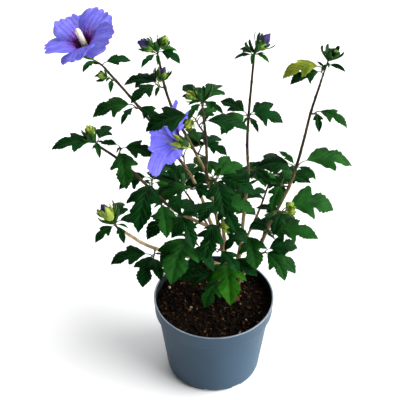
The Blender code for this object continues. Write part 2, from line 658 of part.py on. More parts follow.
def fuse(name, pieces, finish):
    """One body from the pieces: the first is joined with all the others by a single union."""
    base = solid(name, *pieces[0], finish)
    helpers = bpy.data.collections.new(name + "_pieces")
    for i, (points, faces) in enumerate(pieces[1:]):
        piece = solid(f"{name}_piece_{i}", points, faces, finish)
        bpy.context.scene.collection.objects.unlink(piece)
        helpers.objects.link(piece)
    bpy.context.scene.collection.children.link(helpers)
    union = base.modifiers.new("union", "BOOLEAN")
    union.operation = "UNION"
    union.operand_type = "COLLECTION"
    union.collection = helpers
    union.solver = "EXACT"
    seen = base.evaluated_get(bpy.context.evaluated_depsgraph_get())
    joined = bpy.data.meshes.new_from_object(seen)
    base.modifiers.clear()
    base.data = joined
    keep_whole_body(joined)
    for piece in list(helpers.objects):
        bpy.data.objects.remove(piece)
    bpy.data.collections.remove(helpers)
    return base


def build_pot():
    """The pot is a turned wall with a collar, a lip and a floor, slotted round its foot for drainage."""
    inside_foot = BODY_FOOT_RADIUS - POT_WALL
    profile = [
        (0, POT_FLOOR), (inside_foot - FOOT_ROUNDING, POT_FLOOR), (inside_foot, POT_FLOOR + FOOT_ROUNDING),
        (BODY_TOP_RADIUS - POT_WALL, POT_HEIGHT - COLLAR_DEPTH - 0.001),
        (COLLAR_FOOT_RADIUS - POT_WALL, POT_HEIGHT - COLLAR_DEPTH + 0.003),
        (RIM_RADIUS - POT_WALL - LIP, POT_HEIGHT), (RIM_RADIUS, POT_HEIGHT), (RIM_RADIUS, POT_HEIGHT - 0.003),
        (COLLAR_FOOT_RADIUS, POT_HEIGHT - COLLAR_DEPTH + 0.001),
        (BODY_TOP_RADIUS, POT_HEIGHT - COLLAR_DEPTH - 0.002), (BODY_FOOT_RADIUS, FOOT_ROUNDING),
        (BODY_FOOT_RADIUS - FOOT_ROUNDING, 0), (0, 0),
    ]
    mesh = bpy.data.meshes.new("pot")
    mesh.from_pydata([(x, 0, z) for x, z in profile], [(i, i + 1) for i in range(len(profile) - 1)], [])
    mesh.materials.append(material("slate plastic", (0.075, 0.105, 0.140), 0.42))
    pot = bpy.data.objects.new("pot", mesh)
    bpy.context.scene.collection.objects.link(pot)
    turn = pot.modifiers.new("turn", "SCREW")
    turn.steps = turn.render_steps = POT_STEPS
    turn.use_merge_vertices = True
    turn.merge_threshold = 0.0001
    turn.use_smooth_shade = True
    slots = slot_cutter()
    cut = pot.modifiers.new("slots", "BOOLEAN")
    cut.object = slots
    cut.solver = "EXACT"
    return pot


def slot_cutter():
    """One cutter for all the drainage slots, each a low block across the foot's edge."""
    points, faces = [], []
    outside = BODY_FOOT_RADIUS + 0.004
    inside = BODY_FOOT_RADIUS - SLOT_DEPTH
    for k in range(SLOTS):
        turn = math.radians(FIRST_SLOT + 360 / SLOTS * k)
        out = np.array([math.cos(turn), math.sin(turn), 0])
        side = np.array([-math.sin(turn), math.cos(turn), 0])
        first = len(points)
        for z in (-0.002, SLOT_HEIGHT):
            for reach, half in ((inside, 0.5), (outside, 0.5), (outside, -0.5), (inside, -0.5)):
                points.append(out * reach + side * half * SLOT_WIDTH + np.array([0, 0, z]))
        box = [(0, 1, 2, 3), (7, 6, 5, 4), (0, 4, 5, 1), (1, 5, 6, 2), (2, 6, 7, 3), (3, 7, 4, 0)]
        faces += [tuple(first + i for i in face) for face in box]
    cutter = solid("slot_cutter", points, faces, material("cutter", (0.8, 0.1, 0.1), 0.5))
    cutter.hide_render = True
    cutter.display_type = "WIRE"
    return cutter


def build_peat():
    """The peat fills the pot to just under its lip; its top is crumbly, and level round the stool."""
    chance = random.Random("peat")
    clear = POT_WALL + GAP
    top_out = COLLAR_FOOT_RADIUS - POT_WALL - 0.0016
    sides = [(BODY_FOOT_RADIUS - clear - FOOT_ROUNDING, POT_FLOOR + GAP),
             (BODY_FOOT_RADIUS - clear - 0.0004, POT_FLOOR + FOOT_ROUNDING + 0.0004),
             (BODY_TOP_RADIUS - clear - 0.0006, POT_HEIGHT - COLLAR_DEPTH - 0.0016),
             (top_out - 0.0008, SOIL_LEVEL - 0.003)]
    points, faces = [(0, 0, POT_FLOOR + GAP)], []
    for radius, z in sides:
        points += [circle_point(radius, k, z) for k in range(SOIL_STEPS)]
    for ring in range(SOIL_RINGS, 0, -1):
        radius = top_out * ring / (SOIL_RINGS + 0.4)
        for k in range(SOIL_STEPS):
            x, y, _ = circle_point(radius, k, 0)
            level = math.hypot(x - STOOL_FOOT[0], y - STOOL_FOOT[1]) < LEVEL_ROUND_STOOL
            drop = 0 if level else chance.uniform(0, SOIL_ROUGHNESS)
            points.append((x, y, SOIL_LEVEL - drop))
    points.append((0, 0, SOIL_LEVEL))
    rings = len(sides) + SOIL_RINGS
    last = len(points) - 1
    for k in range(SOIL_STEPS):
        after = (k + 1) % SOIL_STEPS
        faces.append((0, 1 + after, 1 + k))
        for ring in range(rings - 1):
            a, b = 1 + ring * SOIL_STEPS + k, 1 + ring * SOIL_STEPS + after
            faces.append((a, b, b + SOIL_STEPS, a + SOIL_STEPS))
        start = 1 + (rings - 1) * SOIL_STEPS
        faces.append((start + k, start + after, last))
    return solid("peat", points, faces, material("peat", (0.022, 0.014, 0.010), 0.95))


def circle_point(radius, k, z):
    turn = math.tau * k / SOIL_STEPS
    return radius * math.cos(turn), radius * math.sin(turn), z


def build_stool(bark):
    """The woody stool: a short stump that flares into root ridges at the peat."""
    points = []
    for share, radius in STOOL_RADII:
        ridge = STOOL_FLARE * (1 - share)**3
        for k in range(STOOL_SIDES):
            turn = math.tau * k / STOOL_SIDES
            out = radius * (1 + ridge * math.cos(STOOL_FLARE_LOBES * turn + 0.6))
            points.append((STOOL_FOOT[0] + out * math.cos(turn), STOOL_FOOT[1] + out * math.sin(turn),
                           SOIL_LEVEL + GAP + share * STOOL_HEIGHT))
    return solid("stem_stool", points, tube_faces(len(STOOL_RADII), STOOL_SIDES), bark)


def build_limb(name, path, bark):
    limb = LIMBS[name]
    places = list(range(0, len(path), PIECES))
    if not limb.carrier:
        places.insert(1, STRAIGHT - 1)
    points = path[places]
    radii = [limb_radius(limb, place / (len(path) - 1)) for place in places]
    made = solid(name, *tube(points, radii, LIMB_SIDES), bark)
    made.data.shade_smooth()
    return made


def build_spray(name, parts, green, violet):
    """A spray is its twig with the leaves, buds and bloom fused on."""
    twig, leaves, buds, bloom = parts
    radii = np.linspace(TWIG_ROOT_RADIUS, TWIG_TIP_RADIUS, len(twig))
    pieces = [tube(twig, radii, TWIG_SIDES)]
    pieces += [leaf_solid(leaf) for leaf in leaves]
    pieces += [bud_solid(bud) for bud in buds]
    if bloom:
        pieces += [turned(bloom, CUP, 8), turned(bloom, COLUMN, 6)]
        pieces += [petal_solid(bloom, k) for k in range(PETALS)]
    return fuse(name, pieces, violet if bloom else green)


def main():
    for thing in list(bpy.data.objects):
        bpy.data.objects.remove(thing)
    bark = material("young bark", (0.235, 0.165, 0.095), 0.8)
    green = material("leaf green", (0.018, 0.085, 0.035), 0.45)
    violet = material("violet petals", (0.20, 0.18, 0.80), 0.5)
    build_pot()
    build_peat()
    build_stool(bark)
    paths, sprays = grow()
    for name, path in paths.items():
        build_limb(name, path, bark)
    for name, parts in sprays.items():
        build_spray(name, parts, green, violet)


main()
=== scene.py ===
"""The looks of the potted hibiscus shrub: the same growth rule as its solids, dressed with toothed leaves,
ruffled petals, bark, crumbly peat and a moulded pot."""

import math
import random
from collections import namedtuple

import bmesh
import bpy
import numpy as np
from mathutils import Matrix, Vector, noise


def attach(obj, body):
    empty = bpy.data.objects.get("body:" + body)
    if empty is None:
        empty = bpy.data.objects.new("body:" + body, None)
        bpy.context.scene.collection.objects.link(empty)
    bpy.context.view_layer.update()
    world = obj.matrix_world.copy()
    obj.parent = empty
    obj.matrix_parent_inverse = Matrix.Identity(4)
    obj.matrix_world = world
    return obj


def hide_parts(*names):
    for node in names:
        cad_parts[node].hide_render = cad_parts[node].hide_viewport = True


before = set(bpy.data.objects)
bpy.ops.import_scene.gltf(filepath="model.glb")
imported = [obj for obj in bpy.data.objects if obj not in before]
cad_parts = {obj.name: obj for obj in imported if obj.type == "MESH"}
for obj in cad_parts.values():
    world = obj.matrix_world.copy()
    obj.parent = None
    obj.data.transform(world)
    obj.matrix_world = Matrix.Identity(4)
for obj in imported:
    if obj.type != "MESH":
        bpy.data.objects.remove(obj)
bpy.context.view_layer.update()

GAP = 0.0003  # left between two solids that touch

# ---- pot ----
POT_HEIGHT = 0.144
RIM_RADIUS = 0.095
COLLAR_DEPTH = 0.0245
COLLAR_FOOT_RADIUS = 0.0934
BODY_TOP_RADIUS = 0.0888
BODY_FOOT_RADIUS = 0.0752
FOOT_ROUNDING = 0.006
POT_WALL = 0.0018
POT_FLOOR = 0.0025
LIP_ROLL = 0.0009  # the lip is rolled in by this much beyond the wall
SLOTS = 10
SLOT_WIDTH = 0.016
SLOT_HEIGHT = 0.0055
SLOT_DEPTH = 0.009
FIRST_SLOT = -96  # bearing of one slot, degrees

# ---- peat ----
SOIL_LEVEL = 0.131

# ---- woody stool ----
STOOL_FOOT = (0.0285, 0.0060)
STOOL_HEIGHT = 0.020
STOOL_RADII = ((0.0, 0.0130), (0.12, 0.0108), (0.35, 0.0088), (0.70, 0.0082), (0.92, 0.0086), (1.0, 0.0081))
STOOL_FLARE_LOBES = 4
STOOL_FLARE = 0.16  # how far the roots' ridges stand out at the foot, as a share of the radius
STEM_RING = 0.0043  # the three stems stand this far from the stool's middle
STOOL_TOP = SOIL_LEVEL + GAP + STOOL_HEIGHT
STEM_START = 0.007  # a stem starts off upright to this height above the stool

# ---- limbs ----
FACET = 0.94  # a faceted limb's mean radius as a share of its corners' radius
LIMB_STATIONS = 9
PIECES = 6  # into which each straight piece of a limb's middle line is divided
STRAIGHT = 2  # a stem leaves the stool upright over this many of them
Limb = namedtuple("Limb", "carrier at foot_radius tip_radius route")


def ring_foot(bearing):
    """Where a stem stands on the stool's top, and the point just above it that starts it off upright."""
    turn = math.radians(bearing)
    x = STOOL_FOOT[0] + STEM_RING * math.cos(turn)
    y = STOOL_FOOT[1] + STEM_RING * math.sin(turn)
    return (x, y, STOOL_TOP + GAP), (x, y, STOOL_TOP + STEM_START)


LIMBS = {
    "stem_centre": Limb(None, 0, 0.0036, 0.0017, (
        *ring_foot(205), (0.017, 0.002, 0.209), (0.007, -0.008, 0.285), (-0.003, -0.025, 0.358),
        (-0.012, -0.038, 0.408), (-0.013, -0.055, 0.476), (-0.018, -0.074, 0.545))),
    "stem_back": Limb(None, 0, 0.0036, 0.0017, (
        *ring_foot(85), (0.040, 0.018, 0.226), (0.045, 0.027, 0.289), (0.050, 0.045, 0.350),
        (0.048, 0.060, 0.405), (0.051, 0.076, 0.464), (0.055, 0.091, 0.520))),
    "stem_right": Limb(None, 0, 0.0036, 0.0017, (
        *ring_foot(325), (0.059, 0.004, 0.216), (0.078, 0.002, 0.274), (0.091, 0.000, 0.315),
        (0.110, -0.006, 0.376), (0.121, -0.012, 0.442), (0.131, -0.018, 0.516), (0.138, -0.022, 0.553))),
    "bough_low_left": Limb("stem_centre", 0.13, 0.0031, 0.0024, (
        (-0.012, -0.014, 0.230), (-0.037, -0.022, 0.245), (-0.067, -0.030, 0.262), (-0.100, -0.043, 0.287),
        (-0.137, -0.060, 0.333))),
    "bough_left": Limb("stem_centre", 0.33, 0.0028, 0.0019, (
        (-0.029, -0.020, 0.316), (-0.065, -0.028, 0.348), (-0.127, -0.042, 0.436), (-0.156, -0.048, 0.468))),
    "bough_flower": Limb("stem_centre", 0.24, 0.0029, 0.0019, (
        (-0.005, 0.010, 0.283), (-0.023, 0.020, 0.337), (-0.041, 0.030, 0.371), (-0.098, 0.045, 0.455),
        (-0.128, 0.048, 0.498), (-0.149, 0.047, 0.528))),
    "bough_back_left": Limb("stem_centre", 0.12, 0.0030, 0.0019, (
        (0.016, 0.016, 0.240), (0.010, 0.026, 0.294), (-0.004, 0.032, 0.341), (-0.035, 0.038, 0.412),
        (-0.065, 0.058, 0.469), (-0.080, 0.078, 0.530))),
    "bough_low_back": Limb("stem_back", 0.13, 0.0025, 0.0015, (
        (0.052, 0.050, 0.222), (0.072, 0.088, 0.245), (0.088, 0.122, 0.272))),
    "bough_low_rear": Limb("bough_back_left", 0.10, 0.0024, 0.0015, (
        (0.003, 0.038, 0.230), (-0.016, 0.072, 0.242), (-0.042, 0.108, 0.262))),
}

# ---- sprays: the limb each grows from, how far along it, the twig's bearing, rise and length, the
# leaves in turn as (bearing, blade length in millimetres), the buds as (bearing, rise, length in
# millimetres), and a bloom as (bearing, rise, petal length in millimetres, how far its petals flare, the
# turn of its first petal) ----
Spray = namedtuple("Spray", "limb at bearing rise reach leaves buds bloom", defaults=((), None))
SPRAYS = {
    "bloom_left": Spray("bough_flower", 1.0, 185, 38, 0.033, (
        (15, 36), (222, 26), (170, 24)), (), (213, 70, 64, 75, 5)),
    "bloom_side": Spray("stem_centre", 0.76, 190, 38, 0.026, (), (), (148, 2, 64, 92, 6)),
    "leaves_front": Spray("stem_centre", 0.17, 280, 14, 0.016, ((280, 78), (236, 48), (330, 46))),
    "leaves_on_peat": Spray("stem_centre", 0.06, 215, 18, 0.018, ((236, 50), (176, 56))),
    "leaves_low_left_foot": Spray("bough_low_left", 0.32, 275, 78, 0.036, ((318, 48), (200, 52), (255, 84))),
    "leaves_low_left_tip": Spray("bough_low_left", 1.0, 128, 25, 0.012, (
        (285, 30), (222, 36), (113, 46), (80, 40)), ((150, 52, 28),)),
    "leaves_low_left_middle": Spray("bough_low_left", 0.62, 262, -20, 0.018, (
        (250, 52), (228, 58), (240, 44))),
    "leaves_left_tip": Spray("bough_left", 1.0, 160, 45, 0.012, (
        (188, 56), (72, 38), (290, 28)), ((135, 55, 19),)),
    "leaves_left_upper": Spray("bough_left", 0.88, 60, 45, 0.012, ((283, 58), (345, 42), (150, 30))),
    "leaves_left_middle": Spray("bough_left", 0.55, 95, 40, 0.012, ((252, 80), (60, 40), (200, 46))),
    "leaves_left_lower": Spray("bough_left", 0.45, 262, -10, 0.016, ((284, 54), (15, 46))),
    "leaves_left_foot": Spray("bough_left", 0.30, 262, 10, 0.016, ((208, 56), (290, 54), (340, 44))),
    "leaves_flower_tip": Spray("bough_flower", 0.95, 230, 35, 0.008, (
        (250, 22), (200, 22)), ((215, 35, 15),)),
    "leaves_flower_upper": Spray("bough_flower", 0.78, 250, 25, 0.012, ((192, 58), (320, 38), (215, 32))),
    "leaves_flower_middle": Spray("bough_flower", 0.42, 95, 25, 0.014, ((110, 52), (165, 46), (60, 50))),
    "leaves_flower_foot": Spray("bough_flower", 0.30, 235, 20, 0.014, ((188, 54), (238, 50), (300, 42))),
    "leaves_back_left_tip": Spray("bough_back_left", 1.0, 120, 70, 0.012, (
        (100, 32), (200, 30), (340, 34), (30, 28)), ((185, 35, 26), (15, 58, 20))),
    "leaves_back_left_upper": Spray("bough_back_left", 0.88, 205, 25, 0.010, (
        (139, 40), (225, 46), (191, 48)), ((30, 66, 23),)),
    "leaves_back_left_middle": Spray("bough_back_left", 0.55, 60, 30, 0.012, (
        (55, 44), (100, 46), (345, 36))),
    "leaves_back_left_lower": Spray("bough_back_left", 0.36, 85, 25, 0.014, ((70, 50), (125, 52), (175, 44))),
    "leaves_centre_tip": Spray("stem_centre", 1.0, 110, 80, 0.016, (
        (63, 52), (115, 42), (230, 30), (330, 30)), ((168, 30, 17),)),
    "leaves_centre_upper": Spray("stem_centre", 0.885, 190, 60, 0.022, (
        (335, 60), (20, 38), (168, 60)), ((240, 0, 16),)),
    "leaves_centre_middle": Spray("stem_centre", 0.64, 320, 20, 0.014, ((335, 56), (285, 60), (30, 46))),
    "leaves_centre_lower": Spray("stem_centre", 0.50, 300, 20, 0.014, ((356, 50), (300, 50), (235, 46))),
    "leaves_centre_waist": Spray("stem_centre", 0.385, 275, 15, 0.016, (
        (330, 46), (225, 56), (275, 44)), ((315, 45, 20),)),
    "leaves_centre_foot": Spray("stem_centre", 0.25, 250, 5, 0.018, ((192, 50), (300, 46), (150, 44))),
    "leaves_back_tip": Spray("stem_back", 1.0, 60, 78, 0.012, (
        (119, 32), (190, 26), (325, 24), (255, 22)), ((35, 40, 29),)),
    "leaves_back_upper": Spray("stem_back", 0.78, 262, 25, 0.012, (
        (142, 46), (215, 48), (49, 44), (300, 30), (352, 46))),
    "leaves_back_waist": Spray("stem_back", 0.37, 95, 25, 0.014, ((100, 52), (45, 50), (150, 48))),
    "leaves_back_rear": Spray("stem_back", 0.46, 88, 30, 0.014, ((75, 50), (130, 48), (20, 46))),
    "leaves_back_middle": Spray("stem_back", 0.56, 300, 20, 0.012, ((8, 54), (235, 48), (310, 36))),
    "leaves_back_foot": Spray("stem_back", 0.28, 300, 15, 0.014, ((290, 58), (337, 56), (250, 40))),
    "leaves_right_rear": Spray("stem_right", 0.27, 75, 25, 0.014, ((75, 52), (25, 48), (125, 50))),
    "leaves_right_tip": Spray("stem_right", 1.0, 30, 72, 0.038, (
        (200, 44), (178, 52), (330, 24), (72, 34)), ((25, 42, 11),)),
    "leaves_right_high": Spray("stem_right", 0.88, 300, 25, 0.010, ((335, 46), (285, 32))),
    "leaves_right_upper": Spray("stem_right", 0.645, 262, 25, 0.012, (
        (163, 52), (14, 82), (135, 32), (320, 32), (60, 26))),
    "leaves_right_middle": Spray("stem_right", 0.55, 200, 25, 0.012, ((135, 28), (240, 42), (20, 40))),
    "leaves_right_lower": Spray("stem_right", 0.42, 300, 25, 0.016, (
        (20, 78), (160, 34), (250, 42)), ((30, 40, 15), (340, 30, 13))),
    "leaves_right_foot": Spray("stem_right", 0.33, 290, 15, 0.014, ((345, 64), (155, 30), (40, 52))),
    "leaves_right_skirt": Spray("stem_right", 0.21, 305, 30, 0.018, ((326, 56), (284, 54), (10, 48))),
    "leaves_low_back_tip": Spray("bough_low_back", 1.0, 40, 42, 0.018, (
        (5, 58), (90, 58), (150, 50), (45, 54), (320, 50))),
    "leaves_low_back_foot": Spray("bough_low_back", 0.45, 20, 20, 0.014, ((15, 54), (75, 52), (330, 46))),
    "leaves_low_rear_tip": Spray("bough_low_rear", 1.0, 110, 42, 0.018, (
        (150, 60), (85, 58), (200, 54), (120, 50), (40, 48))),
    "leaves_low_rear_foot": Spray("bough_low_rear", 0.45, 170, 20, 0.014, ((175, 56), (120, 52), (215, 48))),
}

# ---- growth rule ----
TWIG_STATIONS = 4
TWIG_ROOT_RADIUS = 0.0013
TWIG_TIP_RADIUS = 0.0010
TWIG_UPTURN = 0.15  # a twig's end is lifted this share of its length
FIRST_LEAF = 0.45  # the first leaf stands this far along its twig, and the last one this far
LAST_LEAF = 0.95
SMALL_BLADE = 34  # millimetres; shorter blades are narrower by the next figure
SMALL_WIDTH = 0.8
STALK_SHARE = 0.25  # a leaf stalk's length as a share of its blade
STALK_BEND = 0.55  # the share of it that stands up steeply, before it bends level
STALK_RADIUS = 0.0007
STALK_RISE = 48
BLADE_RISE = 14
BLADE_DROOP = 58
BLADE_FOLD = 10
BLADE_CURL = 0.45
JITTER = 7
DROOP_SPREAD = (-12, 18)
ROLL_SPREAD = 12
WIDTH_SPREAD = (0.86, 1.12)
LIGHT_TILT = 18  # blades lean their faces this far towards the front, where the light comes from
TURNS = (0, 14, -14, 28, -28, 44, -44, 62, -62)  # degrees a leaf may turn aside to stay clear
LIFTS = (0, 14, -14, 28)
LEAF_ROOM = 0.0052
LIMB_ROOM = 0.0028
OWN_ROOM = 0.7  # a leaf needs only this share of the room towards what its own spray holds
SOIL_ROOM = 0.0050
RIM_ROOM = 0.0060
BUD_STALK = 0.008

# Half outline of a blade from root to tip, as (along, across) in blade lengths: side lobe, notch,
# middle lobe.
HALF_OUTLINE = ((0.45, 0.36), (0.49, 0.17), (0.70, 0.21))
PROXY_STATIONS = (0.08, 0.20, 0.32, 0.42, 0.56, 0.70, 0.86, 1.0)  # and the shares of its half width
PROXY_SHARES = (-1, -0.5, 0, 0.5, 1)

# ---- blooms, in petal lengths, and buds, in bud lengths ----
PETALS = 5
PETAL_ROOT = (0.16, 0.03)  # where a petal starts, along the bloom's axis and out from it
PETAL_ALONG = (0.0, 0.30, 0.62, 0.92)
PETAL_HALF_WIDTH = (0.07, 0.22, 0.46, 0.40)
PETAL_TILT = 13  # each petal's one edge lies over the next
LEAN_AT_ROOT = 0.1  # of the flare, and how fast a petal leans out to the whole of it
LEAN_GAIN = 1.36
BLOOM_ROOM = 0.004
COLUMN_END = 0.90  # the top of the stamen column
BUD_RINGS = ((0.0, 0.14), (0.30, 0.33), (0.66, 0.27), (0.98, 0.04))

Leaf = namedtuple("Leaf", "root bearing lift blade droop roll width")
Bud = namedtuple("Bud", "root axis length")
Bloom = namedtuple("Bloom", "root axis petal flare turn")


def aim(bearing, rise):
    """The unit vector of a compass bearing and a rise above the level, in degrees."""
    turn, up = math.radians(bearing), math.radians(rise)
    return np.array([math.cos(turn) * math.cos(up), math.sin(turn) * math.cos(up), math.sin(up)])


def unit(vector):
    return vector / np.linalg.norm(vector)


def unit_rows(vectors):
    """Vectors along the last axis, each brought to length one."""
    return vectors / np.linalg.norm(vectors, axis=-1)[..., None]


def read_off(wanted, places, rows):
    """The rows' values at the wanted places, each of their three columns interpolated on its own."""
    return np.stack([np.interp(wanted, places, rows[:, i]) for i in range(3)], axis=-1)


def table(wanted, pairs):
    """The values at the wanted places of a table of (place, value)."""
    return np.interp(wanted, *zip(*pairs))


def spline(points, count):
    """A smooth curve through the points, as this many points of it at even spacing."""
    ends = [2 * points[0] - points[1], *points, 2 * points[-1] - points[-2]]
    fine = []
    for a, b, c, d in zip(ends, ends[1:], ends[2:], ends[3:]):
        for t in np.linspace(0, 1, 12, endpoint=False):
            fine.append(0.5 * (2 * b + (c - a) * t + (2 * a - 5 * b + 4 * c - d) * t**2
                               + (3 * b - 3 * c + d - a) * t**3))
    fine = np.array([*fine, points[-1]])
    walked = np.concatenate([[0], np.cumsum(np.linalg.norm(np.diff(fine, axis=0), axis=1))])
    return read_off(np.linspace(0, walked[-1], count), walked, fine)


def finer(points):
    """The same run of straight pieces, each divided evenly."""
    shares = np.linspace(0, 1, PIECES, endpoint=False)[:, None]
    return np.concatenate([*(a + (b - a) * shares for a, b in zip(points, points[1:])), points[-1:]])


def along(path, fraction):
    """The point and the direction at a fraction of a path of evenly spaced points."""
    place = fraction * (len(path) - 1)
    i = min(int(place), len(path) - 2)
    step = path[i + 1] - path[i]
    return path[i] + step * (place - i), unit(step)


def off_side(path, fraction, carrier_radius, heading, radius):
    """The point beside a limb where a shoot of this heading and radius starts, clear of the limb."""
    point, ahead = along(path, fraction)
    slant = abs(float(ahead @ heading))
    reach = FACET * carrier_radius + GAP + FACET * radius * slant
    return point + heading * reach / math.sqrt(1 - slant**2)


def limb_radius(limb, fraction):
    return limb.foot_radius + (limb.tip_radius - limb.foot_radius) * fraction**0.8


def limb_paths():
    """Each limb's middle line, a forked one from its carrier's side."""
    paths = {}
    for name, limb in LIMBS.items():
        points = [np.array(p) for p in limb.route]
        if limb.carrier:
            base, _ = along(paths[limb.carrier], limb.at)
            heading = unit(points[0] - base)
            room = limb_radius(LIMBS[limb.carrier], limb.at)
            points.insert(0, off_side(paths[limb.carrier], limb.at, room, heading, limb.foot_radius))
        stations = LIMB_STATIONS + (limb.carrier is None)
        paths[name] = finer(spline(points, stations))
        if not limb.carrier:
            paths[name][1:STRAIGHT, :2] = paths[name][0, :2]
    return paths


def blade_points(leaf, start, s, u, off=0.0):
    """Points of a blade at the shares s along its midrib and u across it, off its surface, all in blade
    lengths."""
    s, u = np.asarray(s, float)[..., None], np.asarray(u, float)[..., None]
    ahead, across = aim(leaf.bearing, 0), aim(leaf.bearing + 90, 0)
    up = np.array([0.0, 0.0, 1.0])
    rise, droop = math.radians(BLADE_RISE + leaf.lift), math.radians(leaf.droop)
    slope = rise - droop * s
    middle = (ahead * (math.sin(rise) - np.sin(slope)) + up * (np.cos(slope) - math.cos(rise))) / droop
    normal = up * np.cos(slope) - ahead * np.sin(slope)
    roll = math.radians(leaf.roll)
    side = across * math.cos(roll) + normal * math.sin(roll)
    over = normal * math.cos(roll) - across * math.sin(roll)
    fold = math.tan(math.radians(BLADE_FOLD))
    off = np.asarray(off)[..., None]
    return start + leaf.blade * (middle + side * u + over * (np.abs(u) * fold - BLADE_CURL * u**2 + off))


def stalk_points(leaf):
    """The leaf stalk's middle line, which leaves the twig steeply and ends in line with the blade."""
    length = leaf.blade * STALK_SHARE
    out = aim(leaf.bearing, STALK_RISE + leaf.lift)
    level = aim(leaf.bearing, BLADE_RISE + leaf.lift)
    bend = leaf.root + out * length * STALK_BEND
    return np.array([leaf.root, bend, bend + level * length * (1 - STALK_BEND)])


def leaf_proxy(leaf):
    """Points over the stalk, two of them, and then over the blade, for seeking the leaf's room."""
    stalk = stalk_points(leaf)
    places = np.repeat(PROXY_STATIONS, len(PROXY_SHARES))
    half = table(places, [(0, 0), *HALF_OUTLINE, (1, 0)])
    across = half * np.tile(PROXY_SHARES, len(PROXY_STATIONS)) * leaf.width
    bend = [(stalk[0] + 2 * stalk[1]) / 3, stalk[1]]
    return np.concatenate([bend, blade_points(leaf, stalk[-1], places, across)])


def nearest(points, rows):
    if len(rows) == 0:
        return math.inf
    return float((np.linalg.norm(points[:, None, :] - rows[None, :, :3], axis=2) - rows[None, :, 3]).min())


def over_pot(points):
    """True when the points keep clear of the peat and of the pot's rim."""
    out = np.hypot(points[:, 0], points[:, 1])
    floor = np.where(out < RIM_RADIUS - 0.016, SOIL_LEVEL + SOIL_ROOM,
                     np.where(out < RIM_RADIUS + 0.008, POT_HEIGHT + RIM_ROOM, 0.02))
    return bool((points[:, 2] > floor).all())


def twig_path(spray, paths):
    """The twig's middle line: from its limb's side or on from its tip, turning a little upwards."""
    limb = LIMBS[spray.limb]
    path = paths[spray.limb]
    heading = aim(spray.bearing, spray.rise)
    if spray.at == 1.0:
        point, ahead = along(path, 1.0)
        start = point + ahead * GAP
        bend = start + ahead * spray.reach / 2
        points = [start, bend, bend + heading * spray.reach / 2]
    else:
        start = off_side(path, spray.at, limb_radius(limb, spray.at), heading, TWIG_ROOT_RADIUS)
        end = start + heading * spray.reach + np.array([0, 0, TWIG_UPTURN * spray.reach])
        points = [start, start + heading * spray.reach / 2, end]
    return spline(points, TWIG_STATIONS)


def with_radius(points, radius):
    return np.column_stack([points, np.full(len(points), radius)])


def occupied(paths, twigs, flowers):
    """The limbs, twigs, buds and blooms as rows of x, y, z, radius and the spray they belong to."""
    rows = []
    for name, path in paths.items():
        radii = limb_radius(LIMBS[name], np.linspace(0, 1, len(path)))
        rows.append(np.column_stack([path, radii, np.full(len(path), -1)]))
    for owner, name in enumerate(SPRAYS):
        buds, bloom = flowers[name]
        balls = [with_radius(twigs[name][1:], TWIG_ROOT_RADIUS), *map(bud_proxy, buds)]
        if bloom:
            balls.append(bloom_proxy(bloom))
        balls = np.concatenate(balls)
        rows.append(np.column_stack([balls, np.full(len(balls), owner)]))
    return np.concatenate(rows)


def new_leaf(chance, root, bearing, blade):
    """A leaf of this bearing and blade length, with its own small differences."""
    bearing += chance.uniform(-JITTER, JITTER)
    lift = chance.uniform(-JITTER, JITTER)
    droop = BLADE_DROOP + chance.uniform(*DROOP_SPREAD) - LIGHT_TILT * math.sin(math.radians(bearing))
    roll = chance.uniform(-ROLL_SPREAD, ROLL_SPREAD) + LIGHT_TILT * math.cos(math.radians(bearing))
    width = chance.uniform(*WIDTH_SPREAD) * (SMALL_WIDTH if blade < SMALL_BLADE else 1.0)
    return Leaf(root, bearing, lift, blade / 1000, droop, roll, width)


def grow():
    """The limbs' paths, and every spray's twig, leaves, buds and bloom."""
    paths = limb_paths()
    twigs = {name: twig_path(spray, paths) for name, spray in SPRAYS.items()}
    flowers = {name: flower_parts(SPRAYS[name], twigs[name]) for name in SPRAYS}
    rows = occupied(paths, twigs, flowers)
    blades, sprays = np.empty((0, 5)), {}
    for owner, (name, spray) in enumerate(SPRAYS.items()):
        chance = random.Random(name)
        leaves = []
        for i, (bearing, blade) in enumerate(spray.leaves):
            share = FIRST_LEAF + (LAST_LEAF - FIRST_LEAF) * i / max(1, len(spray.leaves) - 1)
            root, _ = along(twigs[name], share)
            leaf = room_for(new_leaf(chance, root, bearing, blade), owner, rows, blades)
            if leaf:
                leaves.append(leaf)
                points = with_radius(leaf_proxy(leaf), 0.0)
                blades = np.concatenate([blades, np.column_stack([points, np.full(len(points), owner)])])
        sprays[name] = (twigs[name], leaves, *flowers[name])
    return paths, sprays


def room_for(leaf, owner, rows, blades):
    """The leaf as it is, or turned or lifted until it is clear of all else; None when no turn helps."""
    for lift in LIFTS:
        for turn in TURNS:
            moved = leaf._replace(bearing=leaf.bearing + turn, lift=leaf.lift + lift)
            points = leaf_proxy(moved)
            if not over_pot(points):
                continue
            if not apart(points, owner, rows, LIMB_ROOM) or not apart(points, owner, blades, LEAF_ROOM):
                continue
            return moved
    return None


def apart(points, owner, rows, room):
    """True when the leaf keeps this room; its stalk may be near what its own spray holds."""
    own = rows[:, 4] == owner
    return nearest(points, rows[~own]) >= room and nearest(points[2:], rows[own]) >= room * OWN_ROOM


def flower_parts(spray, twig):
    """The spray's buds and bloom, which leave the twig's end."""
    end = twig[-1]
    buds = [Bud(end, aim(bearing, rise), length / 1000) for bearing, rise, length in spray.buds]
    if not spray.bloom:
        return buds, None
    bearing, rise, petal, flare, turn = spray.bloom
    return buds, Bloom(end, aim(bearing, rise), petal / 1000, flare, math.radians(turn))


def bud_proxy(bud):
    """Balls along a bud, as wide as its widest ring."""
    shares, radii = np.array(BUD_RINGS[1:]).T
    start = bud.root + bud.axis * BUD_STALK
    return with_radius(start + bud.axis * bud.length * shares[:, None], bud.length * radii.max())


